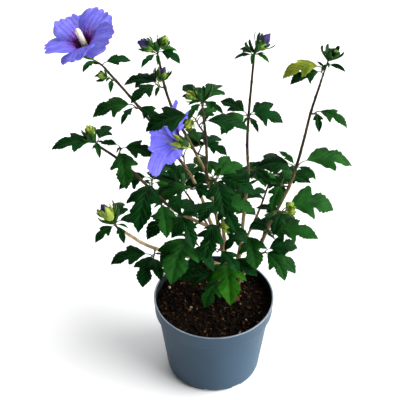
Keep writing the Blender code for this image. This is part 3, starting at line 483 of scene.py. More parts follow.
def across_axis(axis):
    """Two unit vectors square to an axis and to each other."""
    side = unit(np.cross(axis, [0.0, 0.0, 1.0]))
    return side, np.cross(side, axis)


def spoke_of(axis, turn):
    """The unit vector square to an axis that points this way round it."""
    side, over = across_axis(axis)
    return side * math.cos(turn) + over * math.sin(turn)


def petal_foot(bloom, k):
    """Where a petal starts, the way outwards from the bloom's axis and the way across the petal."""
    spoke = spoke_of(bloom.axis, math.tau * k / PETALS + bloom.turn)
    tilt = math.radians(PETAL_TILT)
    across = np.cross(bloom.axis, spoke) * math.cos(tilt) + bloom.axis * math.sin(tilt)
    foot = bloom.root + bloom.petal * (bloom.axis * PETAL_ROOT[0] + spoke * PETAL_ROOT[1])
    return foot, spoke, across


def petal_rows(bloom, k):
    """One petal as rows, each its middle point, half width and the way across it."""
    point, spoke, across = petal_foot(bloom, k)
    rows, before = [], 0.0
    for share, half in zip(PETAL_ALONG, PETAL_HALF_WIDTH):
        lean = math.radians(bloom.flare * min(1, LEAN_AT_ROOT + LEAN_GAIN * (share + before) / 2))
        heading = bloom.axis * math.cos(lean) + spoke * math.sin(lean)
        point = point + bloom.petal * (share - before) * heading
        before = share
        rows.append((point, half * bloom.petal, across))
    return rows


def bloom_proxy(bloom):
    """Points over a bloom's petals and its column."""
    points = [bloom.root + bloom.axis * bloom.petal * COLUMN_END]
    for k in range(PETALS):
        for point, half, across in petal_rows(bloom, k):
            points += [point + across * half * u for u in PROXY_SHARES]
    return with_radius(np.array(points), BLOOM_ROOM)


# ---- leaflets: the rule carried on to smaller leaves, where there is room ----
LEAFLETS = 4  # tried on each spray, and where buds end a limb
TIP_LEAFLETS = 12
LEAFLET_BLADES = (13, 24)  # millimetres
LEAFLET_ROOM = 0.0022
LEAFLET_LIFT = 30  # degrees, at most, that it stands up more than a full leaf
LEAFLET_WIDTH = 0.85  # of a full leaf's
BOX_SLACK = 0.002


def leaflets(paths, sprays):
    """Small young leaves at the twigs' roots and tips, kept to the box of their own spray's leaves."""
    twigs = {name: spray[0] for name, spray in sprays.items()}
    rows = occupied(paths, twigs, {name: spray[2:] for name, spray in sprays.items()})
    blades = [with_radius(leaf_proxy(leaf), 0.0) for spray in sprays.values() for leaf in spray[1]]
    blades, grown = np.concatenate(blades), {}
    for owner, (name, (twig, leaves, buds, _)) in enumerate(sprays.items()):
        chance = random.Random(name + " leaflets")
        grown[name] = []
        if not leaves:
            continue
        budded = buds and SPRAYS[name].at == 1.0
        own = np.concatenate([*map(leaf_proxy, leaves), *(bud_proxy(bud)[:, :3] for bud in buds)])
        low, high = own.min(0) - BOX_SLACK, own.max(0) + BOX_SLACK
        away = rows[rows[:, 4] != owner]
        for _ in range(TIP_LEAFLETS if budded else LEAFLETS):
            root, _ = along(twig, chance.uniform(0.5 if budded else 0.12, 0.98))
            leaf = new_leaf(chance, root, chance.uniform(0, 360), chance.uniform(*LEAFLET_BLADES))
            lift = leaf.lift + chance.uniform(0, LEAFLET_LIFT)
            leaf = leaf._replace(lift=lift, width=leaf.width * LEAFLET_WIDTH)
            points = leaf_proxy(leaf)[2:]
            inside = (points > low).all() and (points < high).all() and over_pot(points)
            if inside and min(nearest(points, away), nearest(points, blades)) > LEAFLET_ROOM:
                grown[name].append(leaf)
                blades = np.concatenate([blades, with_radius(points, 0.0)])
    return grown


# ---- meshes ----
def add_object(name, data):
    """A new object with this mesh, light or camera, in the scene."""
    made = bpy.data.objects.new(name, data)
    bpy.context.scene.collection.objects.link(made)
    return made


class Piece:
    """Gathers closed parts of one mesh, each face with the number of its material."""

    def __init__(self):
        self.points, self.faces, self.slots, self.count = [], [], [], 0

    def add(self, points, faces, slot=0):
        points = np.asarray(points, float)
        self.points.append(points)
        self.faces += [tuple(self.count + i for i in face) for face in faces]
        self.slots += [slot] * len(faces) if isinstance(slot, int) else list(slot)
        self.count += len(points)

    def make(self, name, finishes, slot, nodes=(), sharp=50):
        mesh = bpy.data.meshes.new(name)
        mesh.from_pydata(np.concatenate(self.points), [], self.faces)
        for finish in finishes:
            mesh.materials.append(finish)
        mesh.polygons.foreach_set("material_index", self.slots)
        mesh.shade_smooth()
        mesh.set_sharp_from_angle(angle=math.radians(sharp))
        made = add_object(name, mesh)
        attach(made, "root")
        if nodes:
            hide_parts(*nodes)


ODD_WAY = (0.3, 1.0, 0.1)  # no path starts off this way


def headings(points):
    """Two ways square to a path at each of its points, which don't twist along it."""
    ahead = unit_rows(np.gradient(points, axis=0))
    side, sides = np.cross(ahead[0], ODD_WAY), []
    for direction in ahead:
        side = unit(side - direction * (side @ direction))
        sides.append(side)
    sides = np.array(sides)
    return sides, np.cross(ahead, sides)


def rod(points, radii, sides):
    """A closed tube; radii may hold one row a ring, with a radius for each side."""
    points, radii = np.asarray(points, float), np.asarray(radii, float)
    if radii.ndim == 1:
        radii = np.repeat(radii[:, None], sides, axis=1)
    side, over = headings(points)
    turn = np.arange(sides) * math.tau / sides
    spokes = side[:, None, :] * np.cos(turn)[None, :, None] + over[:, None, :] * np.sin(turn)[None, :, None]
    rings = points[:, None, :] + spokes * radii[:, :, None]
    return rings.reshape(-1, 3), rod_faces(len(points), sides)


def rod_faces(rings, sides):
    faces = [tuple(range(sides - 1, -1, -1))]
    for i in range(rings - 1):
        for k in range(sides):
            a, b = i * sides + k, i * sides + (k + 1) % sides
            faces.append((a, b, b + sides, a + sides))
    last = (rings - 1) * sides
    faces.append(tuple(range(last, last + sides)))
    return faces


def shell(top, bottom, rows, columns, slots, under):
    """A thin closed sheet between two grids of points, and the material number of each of its faces."""
    faces, marks = [], []
    low = rows * columns
    for i in range(rows - 1):
        for j in range(columns - 1):
            a = i * columns + j
            faces += [(a, a + 1, a + 1 + columns, a + columns),
                      (low + a, low + a + columns, low + a + 1 + columns, low + a + 1)]
            marks += [slots[i][j], under[i][j]]
    rim = [*range(columns), *range(2 * columns - 1, rows * columns, columns)]
    rim += [*range(rows * columns - 2, (rows - 1) * columns - 1, -1)]
    rim += [*range((rows - 2) * columns, 0, -columns)]
    faces += [(b, a, a + low, b + low) for a, b in zip(rim, rim[1:] + rim[:1])]
    marks += [slots[0][0]] * len(rim)
    return np.concatenate([top, bottom]), faces, marks


# ---- leaves ----
DARK, MID, FRESH, UNDER, VEIN, LIME = range(6)  # the materials of a piece of leaves
# Half outline of a lobed blade, as (along, across) in blade lengths, and of a young plain one.
LOBED_LEAF = (
    (0.0, 0.012), (0.04, 0.055), (0.10, 0.130), (0.18, 0.228), (0.26, 0.305), (0.315, 0.342), (0.350, 0.318),
    (0.375, 0.235), (0.395, 0.168), (0.42, 0.143), (0.47, 0.160), (0.54, 0.194), (0.62, 0.204), (0.70, 0.184),
    (0.79, 0.138), (0.88, 0.084), (0.95, 0.040), (1.0, 0.004))
PLAIN_LEAF = (
    (0.0, 0.010), (0.12, 0.080), (0.28, 0.155), (0.42, 0.180), (0.60, 0.155), (0.80, 0.090), (1.0, 0.003))
PLAIN_FROM = 0.040  # blades shorter than this are on the way to the plain outline
PLAIN_BY = 0.016  # and this much shorter ones have come to it
# How far the rows across a blade lean forward.
SWEEP = ((0.0, 0.0), (0.12, 0.20), (0.35, 0.42), (0.42, 0.32), (0.55, 0.22), (0.75, 0.18), (1.0, 0.0))
SINUS = (0.375, 0.47)  # the stretch of the half outline that a leaf's own lobe depth acts on
LEAF_ROWS = (22, 40)  # across a leaflet and a full blade
TOOTH = 0.036  # depth of the rounded teeth, and the length of each
TOOTH_PITCH = 0.098
TOOTHED = (  # the share of the teeth's depth along the blade
    (0, 0), (0.08, 0.2), (0.17, 1), (0.345, 1), (0.385, 0.1), (0.44, 0.2), (0.52, 1), (0.9, 0.7), (1, 0))
COLUMNS = np.array((-1, -0.82, -0.6, -0.38, -0.17, 0, 0.17, 0.38, 0.6, 0.82, 1))
SHELL = 0.00034  # a blade's thickness
VEIN_FOOT = 0.0006
VEIN_TIP = 0.00018
VEIN_CREST = 0.00022
VEIN_SUNK = 0.0001  # a vein's foot lies this deep in the blade
VEIN_BLADE = 0.06  # the blade that these figures are for
VEIN_BOW = 0.02
SIDE_VEINS = (  # where each leaves the midrib, where it ends along the blade and how far out
    (0.01, 0.45, 0.330), (0.20, 0.44, 0.125), (0.34, 0.62, 0.170), (0.50, 0.75, 0.165), (0.66, 0.86, 0.110))
PUFF = 0.006  # the swelling between side veins, their slant and their pitch
PUFF_SLANT = 0.75
PUFF_PITCH = 0.155
GROOVE = 0.016  # the hollow along the midrib, and that along the veins of the side lobes
LOBE_GROOVE = 0.012
HALF_BLADE = 0.3  # about half a blade's width
MARGIN_WAVE = 0.045
LOBE_DROOP = 0.05
BLADE_TWIST = 0.04
TIP_BEND = 0.06


def vein_lines(width):
    """The midrib and the side veins as rows of (along, across)."""
    t = np.linspace(0, 1, 7)
    lines = [np.column_stack([t * 0.97, t * 0])]
    for root, end, out in SIDE_VEINS:
        for way in (1, -1):
            bow = np.sin(t * math.pi) * VEIN_BOW
            lines.append(np.column_stack([root + (end - root) * t + bow, way * out * width * t]))
    return lines


def relief(leaf, s, u, wave):
    """How far a blade's surface stands off the rule's smooth one, in blade lengths: it swells between
    its veins, and its margin is wavy."""
    flat = np.abs(u) / leaf.width
    fade = np.clip(6 * (1 - s), 0, 1) * np.clip(8 * s, 0, 1)
    puff = PUFF * np.cos((s - flat * PUFF_SLANT + 0.02) * math.tau / PUFF_PITCH) * np.clip(flat * 7, 0, 1)
    groove = -GROOVE * np.exp(-(flat / 0.035)**2)
    groove = groove - LOBE_GROOVE * np.exp(-((flat - 0.76 * s) / 0.030)**2) * (s < 0.46)
    margin = MARGIN_WAVE * (flat / HALF_BLADE)**2 * np.sin(s * 11 + wave[0] + 2.4 * np.sign(u))
    lobes = -LOBE_DROOP * (flat / HALF_BLADE)**3 * (s < 0.6) + BLADE_TWIST * wave[1] * np.sign(u) * flat
    bend = TIP_BEND * wave[2] * np.clip(s - 0.5, 0, 1)**2
    return (puff + groove + margin * 0.7) * fade + lobes * fade + bend


def half_widths(chance, blade):
    """The blade's outline on one side, with its own lobes and teeth."""
    s = np.linspace(0, 1, LEAF_ROWS[int(blade > SMALL_BLADE / 1000)])
    lobed = table(s, LOBED_LEAF)
    youth = min(1.0, max(0.0, (PLAIN_FROM - blade) / PLAIN_BY))
    in_sinus = (s > SINUS[0]) & (s < SINUS[1])
    depth = np.where(in_sinus, chance.uniform(0.75, 1.25), chance.uniform(0.95, 1.05))
    teeth = np.abs(np.sin(math.pi * (s / TOOTH_PITCH + chance.random())))**0.8 - 0.6
    teeth = teeth * TOOTH * table(s, TOOTHED) * chance.uniform(0.8, 1.2)
    return s, (lobed * (1 - youth) + (table(s, PLAIN_LEAF) * 0.8 + lobed * 0.2) * youth) * depth + teeth


def dress_leaf(piece, leaf, chance, tone):
    """A toothed blade with its veins; tone is the material number of its upper side."""
    start = stalk_points(leaf)[-1]
    s, left = half_widths(chance, leaf.blade)
    _, right = half_widths(chance, leaf.blade)
    left, right = np.maximum(left, 0.003), np.maximum(right, 0.003)
    wave = (chance.uniform(0, math.tau), chance.uniform(-1, 1), chance.uniform(-1, 1))
    across = np.where(COLUMNS > 0, left[:, None], right[:, None]) * COLUMNS * leaf.width
    forward = s[:, None] + table(s, SWEEP)[:, None] * np.abs(across) / leaf.width
    off = relief(leaf, forward, across, wave)
    thick = SHELL / 2 / leaf.blade
    top = blade_points(leaf, start, forward, across, off + thick).reshape(-1, 3)
    bottom = blade_points(leaf, start, forward, across, off - thick).reshape(-1, 3)
    rows, columns = forward.shape
    marks, under = ([[mark] * (columns - 1)] * (rows - 1) for mark in (tone, UNDER))
    piece.add(*shell(top, bottom, rows, columns, marks, under))
    for line in vein_lines(leaf.width):
        low = line[:, 0] - table(line[:, 0], SWEEP) * np.abs(line[:, 1]) / leaf.width
        inside = np.abs(line[:, 1]) <= np.interp(low, s, np.minimum(left, right)) * leaf.width * 0.94 + 1e-6
        kept = len(line) if inside.all() else max(3, int(np.argmin(inside)))
        dress_vein(piece, leaf, start, line[:kept], wave, thick)


def dress_vein(piece, leaf, start, line, wave, thick):
    """A vein that stands out from both sides of a blade."""
    midrib = line[-1, 1] == 0
    half = np.linspace(VEIN_FOOT, VEIN_TIP, len(line)) * leaf.blade / VEIN_BLADE * (1 if midrib else 0.7)
    off = relief(leaf, *line.T, wave)
    for way, slot in ((1, VEIN), (-1, UNDER)):
        crest = blade_points(leaf, start, *line.T, off + way * (thick + VEIN_CREST / leaf.blade))
        foot = blade_points(leaf, start, *line.T, off + way * (thick - VEIN_SUNK / leaf.blade))
        flank = unit_rows(np.cross(crest - foot, unit_rows(np.gradient(crest, axis=0))))
        rings = np.stack([foot + flank * half[:, None], crest, foot - flank * half[:, None]], axis=1)
        piece.add(rings.reshape(-1, 3), rod_faces(len(line), 3), slot)


def dress_stalk(piece, leaf, slot):
    path = spline(list(stalk_points(leaf)), 9)
    thick = STALK_RADIUS * (0.75 + 0.35 * min(1, leaf.blade / 0.05))
    piece.add(*rod(path, np.linspace(1.35, 0.85, len(path)) * thick, 6), slot)


# ---- blooms ----
PETAL_ROWS = 36
PETAL_COLUMNS = 45
PETAL_SHELL = 0.0004
RUFFLE = 0.030  # of a petal's length, at its edge
PLEAT = 0.007
SCALLOP = 0.052
PETAL_HALVES = (
    (0, 0.07), (0.12, 0.11), (0.30, 0.21), (0.45, 0.32), (0.66, 0.42), (0.84, 0.47), (0.95, 0.46), (1, 0.42))
FULLNESS = {"bloom_left": 0.92, "bloom_side": 0.70}  # the older bloom's petals have drawn in and stand apart
EDGE_LEAN = 22  # degrees that a petal leans out further beyond this share of its length
EDGE_LEAN_FROM = 0.7
PETAL_CUP = 0.05
EYE, DEEP, HALO, BLUE, PALE_SHEEN, BACK = range(6)
# The tones round the eye: how far each reaches, and how much further along a ray and in the petal's middle.
TONES = ((EYE, 0.38, 0.04, 0.0), (DEEP, 0.43, 0.08, 0.04), (HALO, 0.54, 0.12, 0.06))
# pale streaks along the petal's outer half, painted as highlights
PALE_SHEEN_BAND = (0.55, 0.90)
# Round bodies on a bloom's axis, as (along, radius) in petal lengths.
COLUMN_SHAPE = (
    (0.14, 0.030), (0.18, 0.042), (0.24, 0.050), (0.36, 0.056), (0.50, 0.058), (0.64, 0.060), (0.76, 0.062),
    (0.83, 0.058), (0.87, 0.040), (0.89, 0.008))
CALYX_SHAPE = ((-0.02, 0.016), (0.0, 0.03), (0.04, 0.07), (0.10, 0.095), (0.17, 0.09), (0.22, 0.06))
ANTHERS = 230
ANTHERS_FROM = 0.24  # and the length of the column that they cover, of which the crowded foot is a part
ANTHERS_OVER = 0.60
CROWD_OVER = 0.14
GOLDEN_TURN = 2.39996
ANTHER_SIZES = (0.0006, 0.0009)
CROWD_GROWTH = 0.0005  # how much larger the crowded ones are


def petal_line(bloom, k, shares):
    """A petal's middle line and its lean at these shares of its length, by the rule's own flare."""
    foot, spoke, across = petal_foot(bloom, k)
    fine = np.linspace(0, 1.1, 56)
    lean = bloom.flare * np.minimum(1, LEAN_AT_ROOT + LEAN_GAIN * fine)
    lean = np.radians(lean + EDGE_LEAN * np.clip(fine - EDGE_LEAN_FROM, 0, 1))
    steps = bloom.axis * np.cos(lean)[:, None] + spoke * np.sin(lean)[:, None]
    walked = np.concatenate([[np.zeros(3)], np.cumsum((steps[1:] + steps[:-1]) / 2, axis=0)])
    line = foot + walked * bloom.petal * 0.02
    return read_off(shares, fine, line), read_off(shares, fine, steps), across


def petal_tone(v, ray, middle, streak):
    """The material of one face of a petal's inner side."""
    for tone, reach, by_ray, by_middle in TONES:
        if v < reach + by_ray * ray + by_middle * middle:
            return tone
    # painted highlight: a pale streak on the outer part of the petal
    pale = streak > 0.60 and PALE_SHEEN_BAND[0] + 0.2 * ray < v < PALE_SHEEN_BAND[1] + 0.2 * ray
    return PALE_SHEEN if pale else BLUE


def dress_petal(piece, bloom, k, chance, fullness):
    """One ruffled petal; its colours lie in rings round the eye, broken up by rays, and pale streaks further
    out are painted highlights.
    """
    rows, columns = PETAL_ROWS, PETAL_COLUMNS
    t, u = np.meshgrid(np.linspace(0, 1, rows), np.linspace(-1, 1, columns), indexing="ij")
    waves = [chance.uniform(0, math.tau) for _ in range(6)]
    reach = 1.02 - 0.07 * u**2 - 0.20 * u**6
    reach = reach + SCALLOP * (np.abs(np.sin(u * 8.2 + waves[0])) - 0.5) + 0.006 * np.sin(u * 19 + waves[1])
    share = t * reach
    half = fullness * table(t, PETAL_HALVES)
    at, ahead, across = petal_line(bloom, k, share)
    normal = unit_rows(np.cross(np.broadcast_to(across, ahead.shape), ahead))
    ruffle = t**3 * (np.sin(u * 5.2 + waves[2]) + 0.7 * np.sin(u * 11 + waves[3]) * (0.4 + np.abs(u)))
    off = RUFFLE * ruffle * (0.45 + 0.55 * np.abs(u)) + PLEAT * np.sin(u * 25 + waves[4]) * t * (1.3 - t)
    off = off + PETAL_CUP * (1 - u**2) * t * (1 - t) * 2
    middle = at + across * (half * u * bloom.petal)[..., None]
    top = (middle - normal * (off * bloom.petal + PETAL_SHELL / 2)[..., None]).reshape(-1, 3)
    bottom = (middle - normal * (off * bloom.petal - PETAL_SHELL / 2)[..., None]).reshape(-1, 3)
    rays = [chance.uniform(-1, 1) for _ in range(columns)]
    streaks = [chance.random() for _ in range(columns)]
    marks, under = [], []
    for i in range(rows - 1):
        v, line, below = (i + 0.5) / (rows - 1), [], []
        for j, (ray, streak) in enumerate(zip(rays[:-1], streaks)):
            line.append(petal_tone(v, ray, 1 - abs(2 * (j + 0.5) / (columns - 1) - 1), streak))
            below.append(BLUE if streak > 0.75 or v < 0.3 else BACK)
        marks.append(line)
        under.append(below)
    piece.add(*shell(bottom, top, rows, columns, under, marks))


def turned(piece, bloom, shape, slot):
    """A round body on a bloom's axis."""
    shares, radii = np.array(shape).T
    points = bloom.root + bloom.axis * (bloom.petal * shares)[:, None]
    piece.add(*rod(points, radii * bloom.petal, 18), slot)


def dress_column(piece, bloom, chance):
    """The stamen column: thick and cream, closely set with small anthers, with larger ones at its foot."""
    turned(piece, bloom, COLUMN_SHAPE, 0)
    for i in range(ANTHERS):
        share = ANTHERS_FROM + ANTHERS_OVER * i / ANTHERS
        spoke = spoke_of(bloom.axis, i * GOLDEN_TURN + chance.uniform(-0.25, 0.25))
        crowd = max(0.0, 1 - (share - ANTHERS_FROM) / CROWD_OVER)
        out = (0.059 + crowd * chance.uniform(0.012, 0.045)) * bloom.petal
        size = chance.uniform(*ANTHER_SIZES) + CROWD_GROWTH * crowd
        middle = bloom.root + bloom.petal * bloom.axis * share
        if crowd > 0:
            piece.add(*rod([middle + spoke * bloom.petal * 0.03, middle + spoke * out], [0.0003, 0.0002], 4))
        knob(piece, middle + spoke * out, size)


def knob(piece, centre, radius):
    """A small round body."""
    heights = (-0.95, -0.5, 0.0, 0.5, 0.95)
    points = [centre + np.array([0, 0, h * radius]) for h in heights]
    piece.add(*rod(points, [radius * math.sqrt(1 - h * h) for h in heights], 7))


# ---- buds ----
GREEN, PURPLE, BRACT, LEAFY = range(4)  # the materials of the piece of buds
BRACT_HALF_WIDTH = 0.0024
BRACT_LENGTHS = (0.85, 1.2)
BRACT_BOWS = (0.35, 0.75)
BRACT_WIDTHS = (0.8, 1.2)
BUD_BRACTS = 9
BLOOM_BRACTS = 8
SEPALS = 5
CLOSED_FIT = 0.92  # a closed bud's body has this share of an opening one's width
LOBE_SHEET = 0.0005  # the thickness of a lobe of a calyx and of a bract
LEAST_HALF = 0.00012
BUD_STALK_RADII = (0.0008, 0.0009, 0.0016)
# A bud's petals, rolled: their outline, and their folds by number, depth and twist.
ROLL = ((0, 0.10), (0.15, 0.20), (0.40, 0.26), (0.60, 0.25), (0.78, 0.16), (0.92, 0.06), (1, 0.006))
ROLL_SIDES = 25
FOLDS = (5, 0.10, 3.4)


def sepals(piece, root, axis, length, wide, spread, slot, turn_by):
    """Pointed lobes round an axis: they hug the body inside, and lean out by spread at the tip."""
    t = np.linspace(0, 1, 11)
    out = wide * np.sin(math.pi * (0.10 + 0.86 * t))**0.7 + spread * t**2.5
    half = length * wide * (0.35 + 0.75 * np.sin(np.clip(t * 1.9, 0, math.pi / 2))) * (1 - t**1.7)
    for k in range(SEPALS):
        spoke = spoke_of(axis, math.tau * k / SEPALS + turn_by)
        path = root + axis * (length * t)[:, None] + spoke * (length * out)[:, None]
        pointed_lobe(piece, path, half, axis, spoke, slot)


def pointed_lobe(piece, path, half, axis, outward, slot):
    """A thin lobe with a cupped section: five points across each ring, on two sides."""
    columns = np.array(PROXY_SHARES)
    wide = np.maximum(half, LEAST_HALF)[:, None]
    place = path[:, None, :] + np.cross(axis, outward) * (wide * columns)[..., None]
    place = place + outward * (wide * (-0.45 * columns**2))[..., None]
    top = (place + outward * LOBE_SHEET / 2).reshape(-1, 3)
    bottom = (place - outward * LOBE_SHEET / 2).reshape(-1, 3)
    marks = [[slot] * (len(columns) - 1)] * (len(path) - 1)
    piece.add(*shell(bottom, top, len(path), len(columns), marks, marks))


def prongs(piece, root, axis, length, count, chance, wide=BRACT_HALF_WIDTH, slot=BRACT):
    """Narrow leafy bracts that stand round a calyx or a shoot's tip and curve out and up."""
    t = np.linspace(0, 1, 9)
    for k in range(count):
        spoke = spoke_of(axis, math.tau * k / count + chance.uniform(-0.25, 0.25))
        reach = length * chance.uniform(*BRACT_LENGTHS)
        bow = chance.uniform(*BRACT_BOWS)
        path = root + spoke * (0.0014 + reach * bow * np.sin(t * 1.7))[:, None]
        path = path + axis * (reach * t * (1 - 0.35 * bow))[:, None]
        halves = wide * np.sin(math.pi * (0.12 + 0.80 * t))**0.6 * chance.uniform(*BRACT_WIDTHS)
        pointed_lobe(piece, path, halves, axis, spoke, slot)


def dress_bud(piece, bud, chance, cover, leafy):
    """A bud in its calyx, which covers this share of it; an opening one shows its rolled petals above it."""
    start = bud.root + bud.axis * BUD_STALK
    stalk = np.array([bud.root, bud.root + bud.axis * BUD_STALK * 0.5, start + bud.axis * 0.001])
    piece.add(*rod(stalk, BUD_STALK_RADII, 8), GREEN)
    length, opening = bud.length, cover < 0.9
    t = np.linspace(0, 1, 18)
    body = length * table(t, ROLL) * (1.0 if opening else CLOSED_FIT)
    turn = np.arange(ROLL_SIDES) * math.tau / ROLL_SIDES
    folds, depth, twist = FOLDS
    folded = 1 + depth * np.cos(folds * turn[None, :] + twist * t[:, None])
    points = start + bud.axis * (length * (0.02 + 0.96 * t))[:, None]
    piece.add(*rod(points, body[:, None] * folded, ROLL_SIDES), PURPLE if opening else GREEN)
    sepals(piece, start - bud.axis * length * 0.02, bud.axis, length * cover, 0.30 / cover,
           0.34 if opening else 0.14, LEAFY if leafy else GREEN, chance.uniform(0, 1.2))
    prongs(piece, start, bud.axis, length * 0.80, BUD_BRACTS, chance, slot=BRACT if leafy else LEAFY)


def dress_cup(piece, bloom, chance):
    """The calyx under an open bloom, with its lobes and its slender bracts."""
    turned(piece, bloom, CALYX_SHAPE, GREEN)
    sepals(piece, bloom.root + bloom.axis * bloom.petal * 0.03, bloom.axis, bloom.petal * 0.40, 0.26, 0.42,
           GREEN, 0.5)
    prongs(piece, bloom.root, bloom.axis, bloom.petal * 0.28, BLOOM_BRACTS, chance)


# ---- limbs ----
LIMB_STEP = 0.0022
BARK_SIDES = 16
COLLAR = 0.30  # how much a limb's foot swells, and over what length on a bough and on a stem
COLLAR_FADE = (0.006, 0.008)
BARK_RIDGES = ((0.035, 5, 40), (0.025, 9, -95))  # height as a share of the radius, number, twist
BARK_LUMPS = 0.03
SCAR_SPACING = 0.024
SCARS_FROM = 0.012
SCARS_END = 0.006  # before the tip
SCAR_SHIFT = 0.004
SCAR_TURN = 2.4
SCAR_REACH = 0.0016
SCAR_SWELL = (0.10, 0.30)  # all round the limb, and more on the scar's own side
KNOT_REACH = 0.0028
KNOT_SWELL = 0.22
SWELL_HEIGHT = 0.0017
OLD, YOUNG, STAINED, STRAW = range(4)
PALE_LIMBS = {"bough_low_left"}
STUMP_SIDES = 56
STUMP_RINGS = 22
STUMP_SUNK = 0.002  # how deep the stump starts in the peat
STAIN_TO = 0.45  # of its height
BARK_FIT = 0.97  # of the limb's radius
SUNK_FOOT = 0.006  # how deep a stem's foot goes into the stool
BROWN_FROM = {"bough_low_left": 0.95, "bough_left": 0.35, "bough_flower": 0.40, "others": 0.60}


def dress_limb(piece, name, path, knots, chance):
    """A limb with bark ridges, leaf scars in turn on its sides, and a swelling at each knot."""
    limb = LIMBS[name]
    line = path[::PIECES]
    length = np.linalg.norm(np.diff(path, axis=0), axis=1).sum()
    count = int(length / LIMB_STEP)
    smooth = spline(list(line), count)
    share = np.linspace(0, 1, count)
    radii = np.array([limb_radius(limb, f) for f in share]) * BARK_FIT
    if limb.carrier:
        sunk = limb_radius(LIMBS[limb.carrier], limb.at)
        collar = np.exp(-share * length / COLLAR_FADE[0])
    else:
        sunk, collar = SUNK_FOOT, 0.5 * np.exp(-share * length / COLLAR_FADE[1])
    radii = radii * (1 + COLLAR * collar)
    smooth = np.concatenate([[smooth[0] - unit(line[1] - line[0]) * sunk], smooth])
    radii = np.concatenate([[radii[0]], radii])
    share = np.concatenate([[0.0], share])
    turn = np.arange(BARK_SIDES) * math.tau / BARK_SIDES
    phase = [chance.uniform(0, math.tau) for _ in range(4)]
    run = share[:, None] * length
    grain = sum(high * np.sin(count * turn + start + twist * run)
                for (high, count, twist), start in zip(BARK_RIDGES, phase))
    grain = grain + BARK_LUMPS * np.sin(run * 260 + phase[2]) * np.sin(3 * turn + phase[3] + run * 60)
    swell = np.zeros((len(share), BARK_SIDES))
    for i, place in enumerate(np.arange(SCARS_FROM, length - SCARS_END, SCAR_SPACING)):
        place += chance.uniform(-SCAR_SHIFT, SCAR_SHIFT)
        facing = i * SCAR_TURN + phase[0]
        near = np.exp(-((run - place) / SCAR_REACH)**2)
        swell += near * (SCAR_SWELL[0] + SCAR_SWELL[1] * np.clip(np.cos(turn - facing), 0, 1)**3)
    for place in knots:
        swell += KNOT_SWELL * np.exp(-((run - place * length) / KNOT_REACH)**2)
    rough = radii[:, None] * (1 + grain + swell * SWELL_HEIGHT / radii[:, None])
    lower = STRAW if name in PALE_LIMBS else OLD
    marks = young_marks(share, BROWN_FROM.get(name, BROWN_FROM["others"]), lower)
    piece.add(*rod(smooth, rough, BARK_SIDES), marks)


def young_marks(share, start, lower):
    """The material of each face of a limb: its own lower bark below the start, young brown bark above."""
    marks = [lower]
    for i in range(len(share) - 1):
        for k in range(BARK_SIDES):
            marks.append(YOUNG if share[i] + 0.05 * math.sin(k * 1.7 + i) > start else lower)
    return marks + [YOUNG]


def dress_stool(piece):
    """The stump, with root ridges that run out at the peat and a lumpy crown between the stems."""
    turn = np.arange(STUMP_SIDES) * math.tau / STUMP_SIDES
    share = np.linspace(0, 1, STUMP_RINGS)
    radii = []
    for s, radius in zip(share, table(share, STOOL_RADII)):
        ridge = STOOL_FLARE * (1 - s)**3 * np.cos(STOOL_FLARE_LOBES * turn + 0.6)
        grain = 0.03 * np.sin(11 * turn + 5 * s) + 0.02 * np.sin(19 * turn - 9 * s + 1.0)
        lumps = [noise.noise(Vector((math.cos(t) * 2.2, math.sin(t) * 2.2, s * 3.0))) for t in turn]
        radii.append(radius * 0.99 * (1 + ridge + grain + np.array(lumps) * 0.10))
    heights = SOIL_LEVEL - STUMP_SUNK + (STOOL_HEIGHT + STUMP_SUNK) * share
    points = np.column_stack([*(np.full(STUMP_RINGS, at) for at in STOOL_FOOT), heights])
    points = np.concatenate([points, points[-1:] + [[0, 0, 0.0006]]])
    radii = np.array([*radii, radii[-1] * 0.6])
    spokes = np.stack([np.cos(turn), np.sin(turn), 0 * turn], axis=1)
    place = points[:, None, :] + spokes[None, :, :] * radii[:, :, None]
    marks = [STAINED]
    for i in range(len(points) - 1):
        for k in range(STUMP_SIDES):
            stain = i / STUMP_RINGS + 0.12 * math.sin(k * 1.3) * math.sin(k * 0.37)
            marks.append(STAINED if stain < STAIN_TO else OLD)
    piece.add(place.reshape(-1, 3), rod_faces(len(points), STUMP_SIDES), [*marks, OLD])


# ---- peat ----
PEAT_RINGS = 46
PEAT_STEPS = 150
CRUMBS = 3600
CRUMB_SIZES = (0.0005, 0.0034)
STRAWS = 150
PEAT_FALL = 0.0012  # how far the top lies below its level, and how much it rises round the stool
PEAT_LUMP = 0.0017
CRUMBS_CLEAR = 0.0125  # of the stool's middle
STRAWS_CLEAR = 0.016
STRAW_LENGTHS = (0.002, 0.006)
STRAW_RADII = (0.00018, 0.0003, 0.00015)
PEAT, CRUMB, BROWN, RUST, GRIT = range(5)
CRUMB_TONES = ((0.80, CRUMB), (0.965, BROWN), (0.995, RUST), (2.0, GRIT))  # by a draw below each figure


def from_stool(x, y):
    return math.hypot(x - STOOL_FOOT[0], y - STOOL_FOOT[1])


def peat_height(x, y):
    """The crumbly top of the peat, a little lower than its level except close round the stool."""
    lumps = noise.fractal(Vector((x * 90, y * 90, 0.3)), 0.8, 2.2, 5) * PEAT_LUMP
    away = from_stool(x, y)
    bank = PEAT_FALL * math.exp(-((away - 0.016) / 0.010)**2)
    return SOIL_LEVEL - PEAT_FALL + lumps + bank - PEAT_FALL * min(1.0, max(0.0, away - 0.02) / 0.05)


def on_peat(chance, reach):
    """A spot drawn evenly over the peat, out to this reach."""
    radius = reach * math.sqrt(chance.random())
    t = chance.uniform(0, math.tau)
    return radius * math.cos(t), radius * math.sin(t)


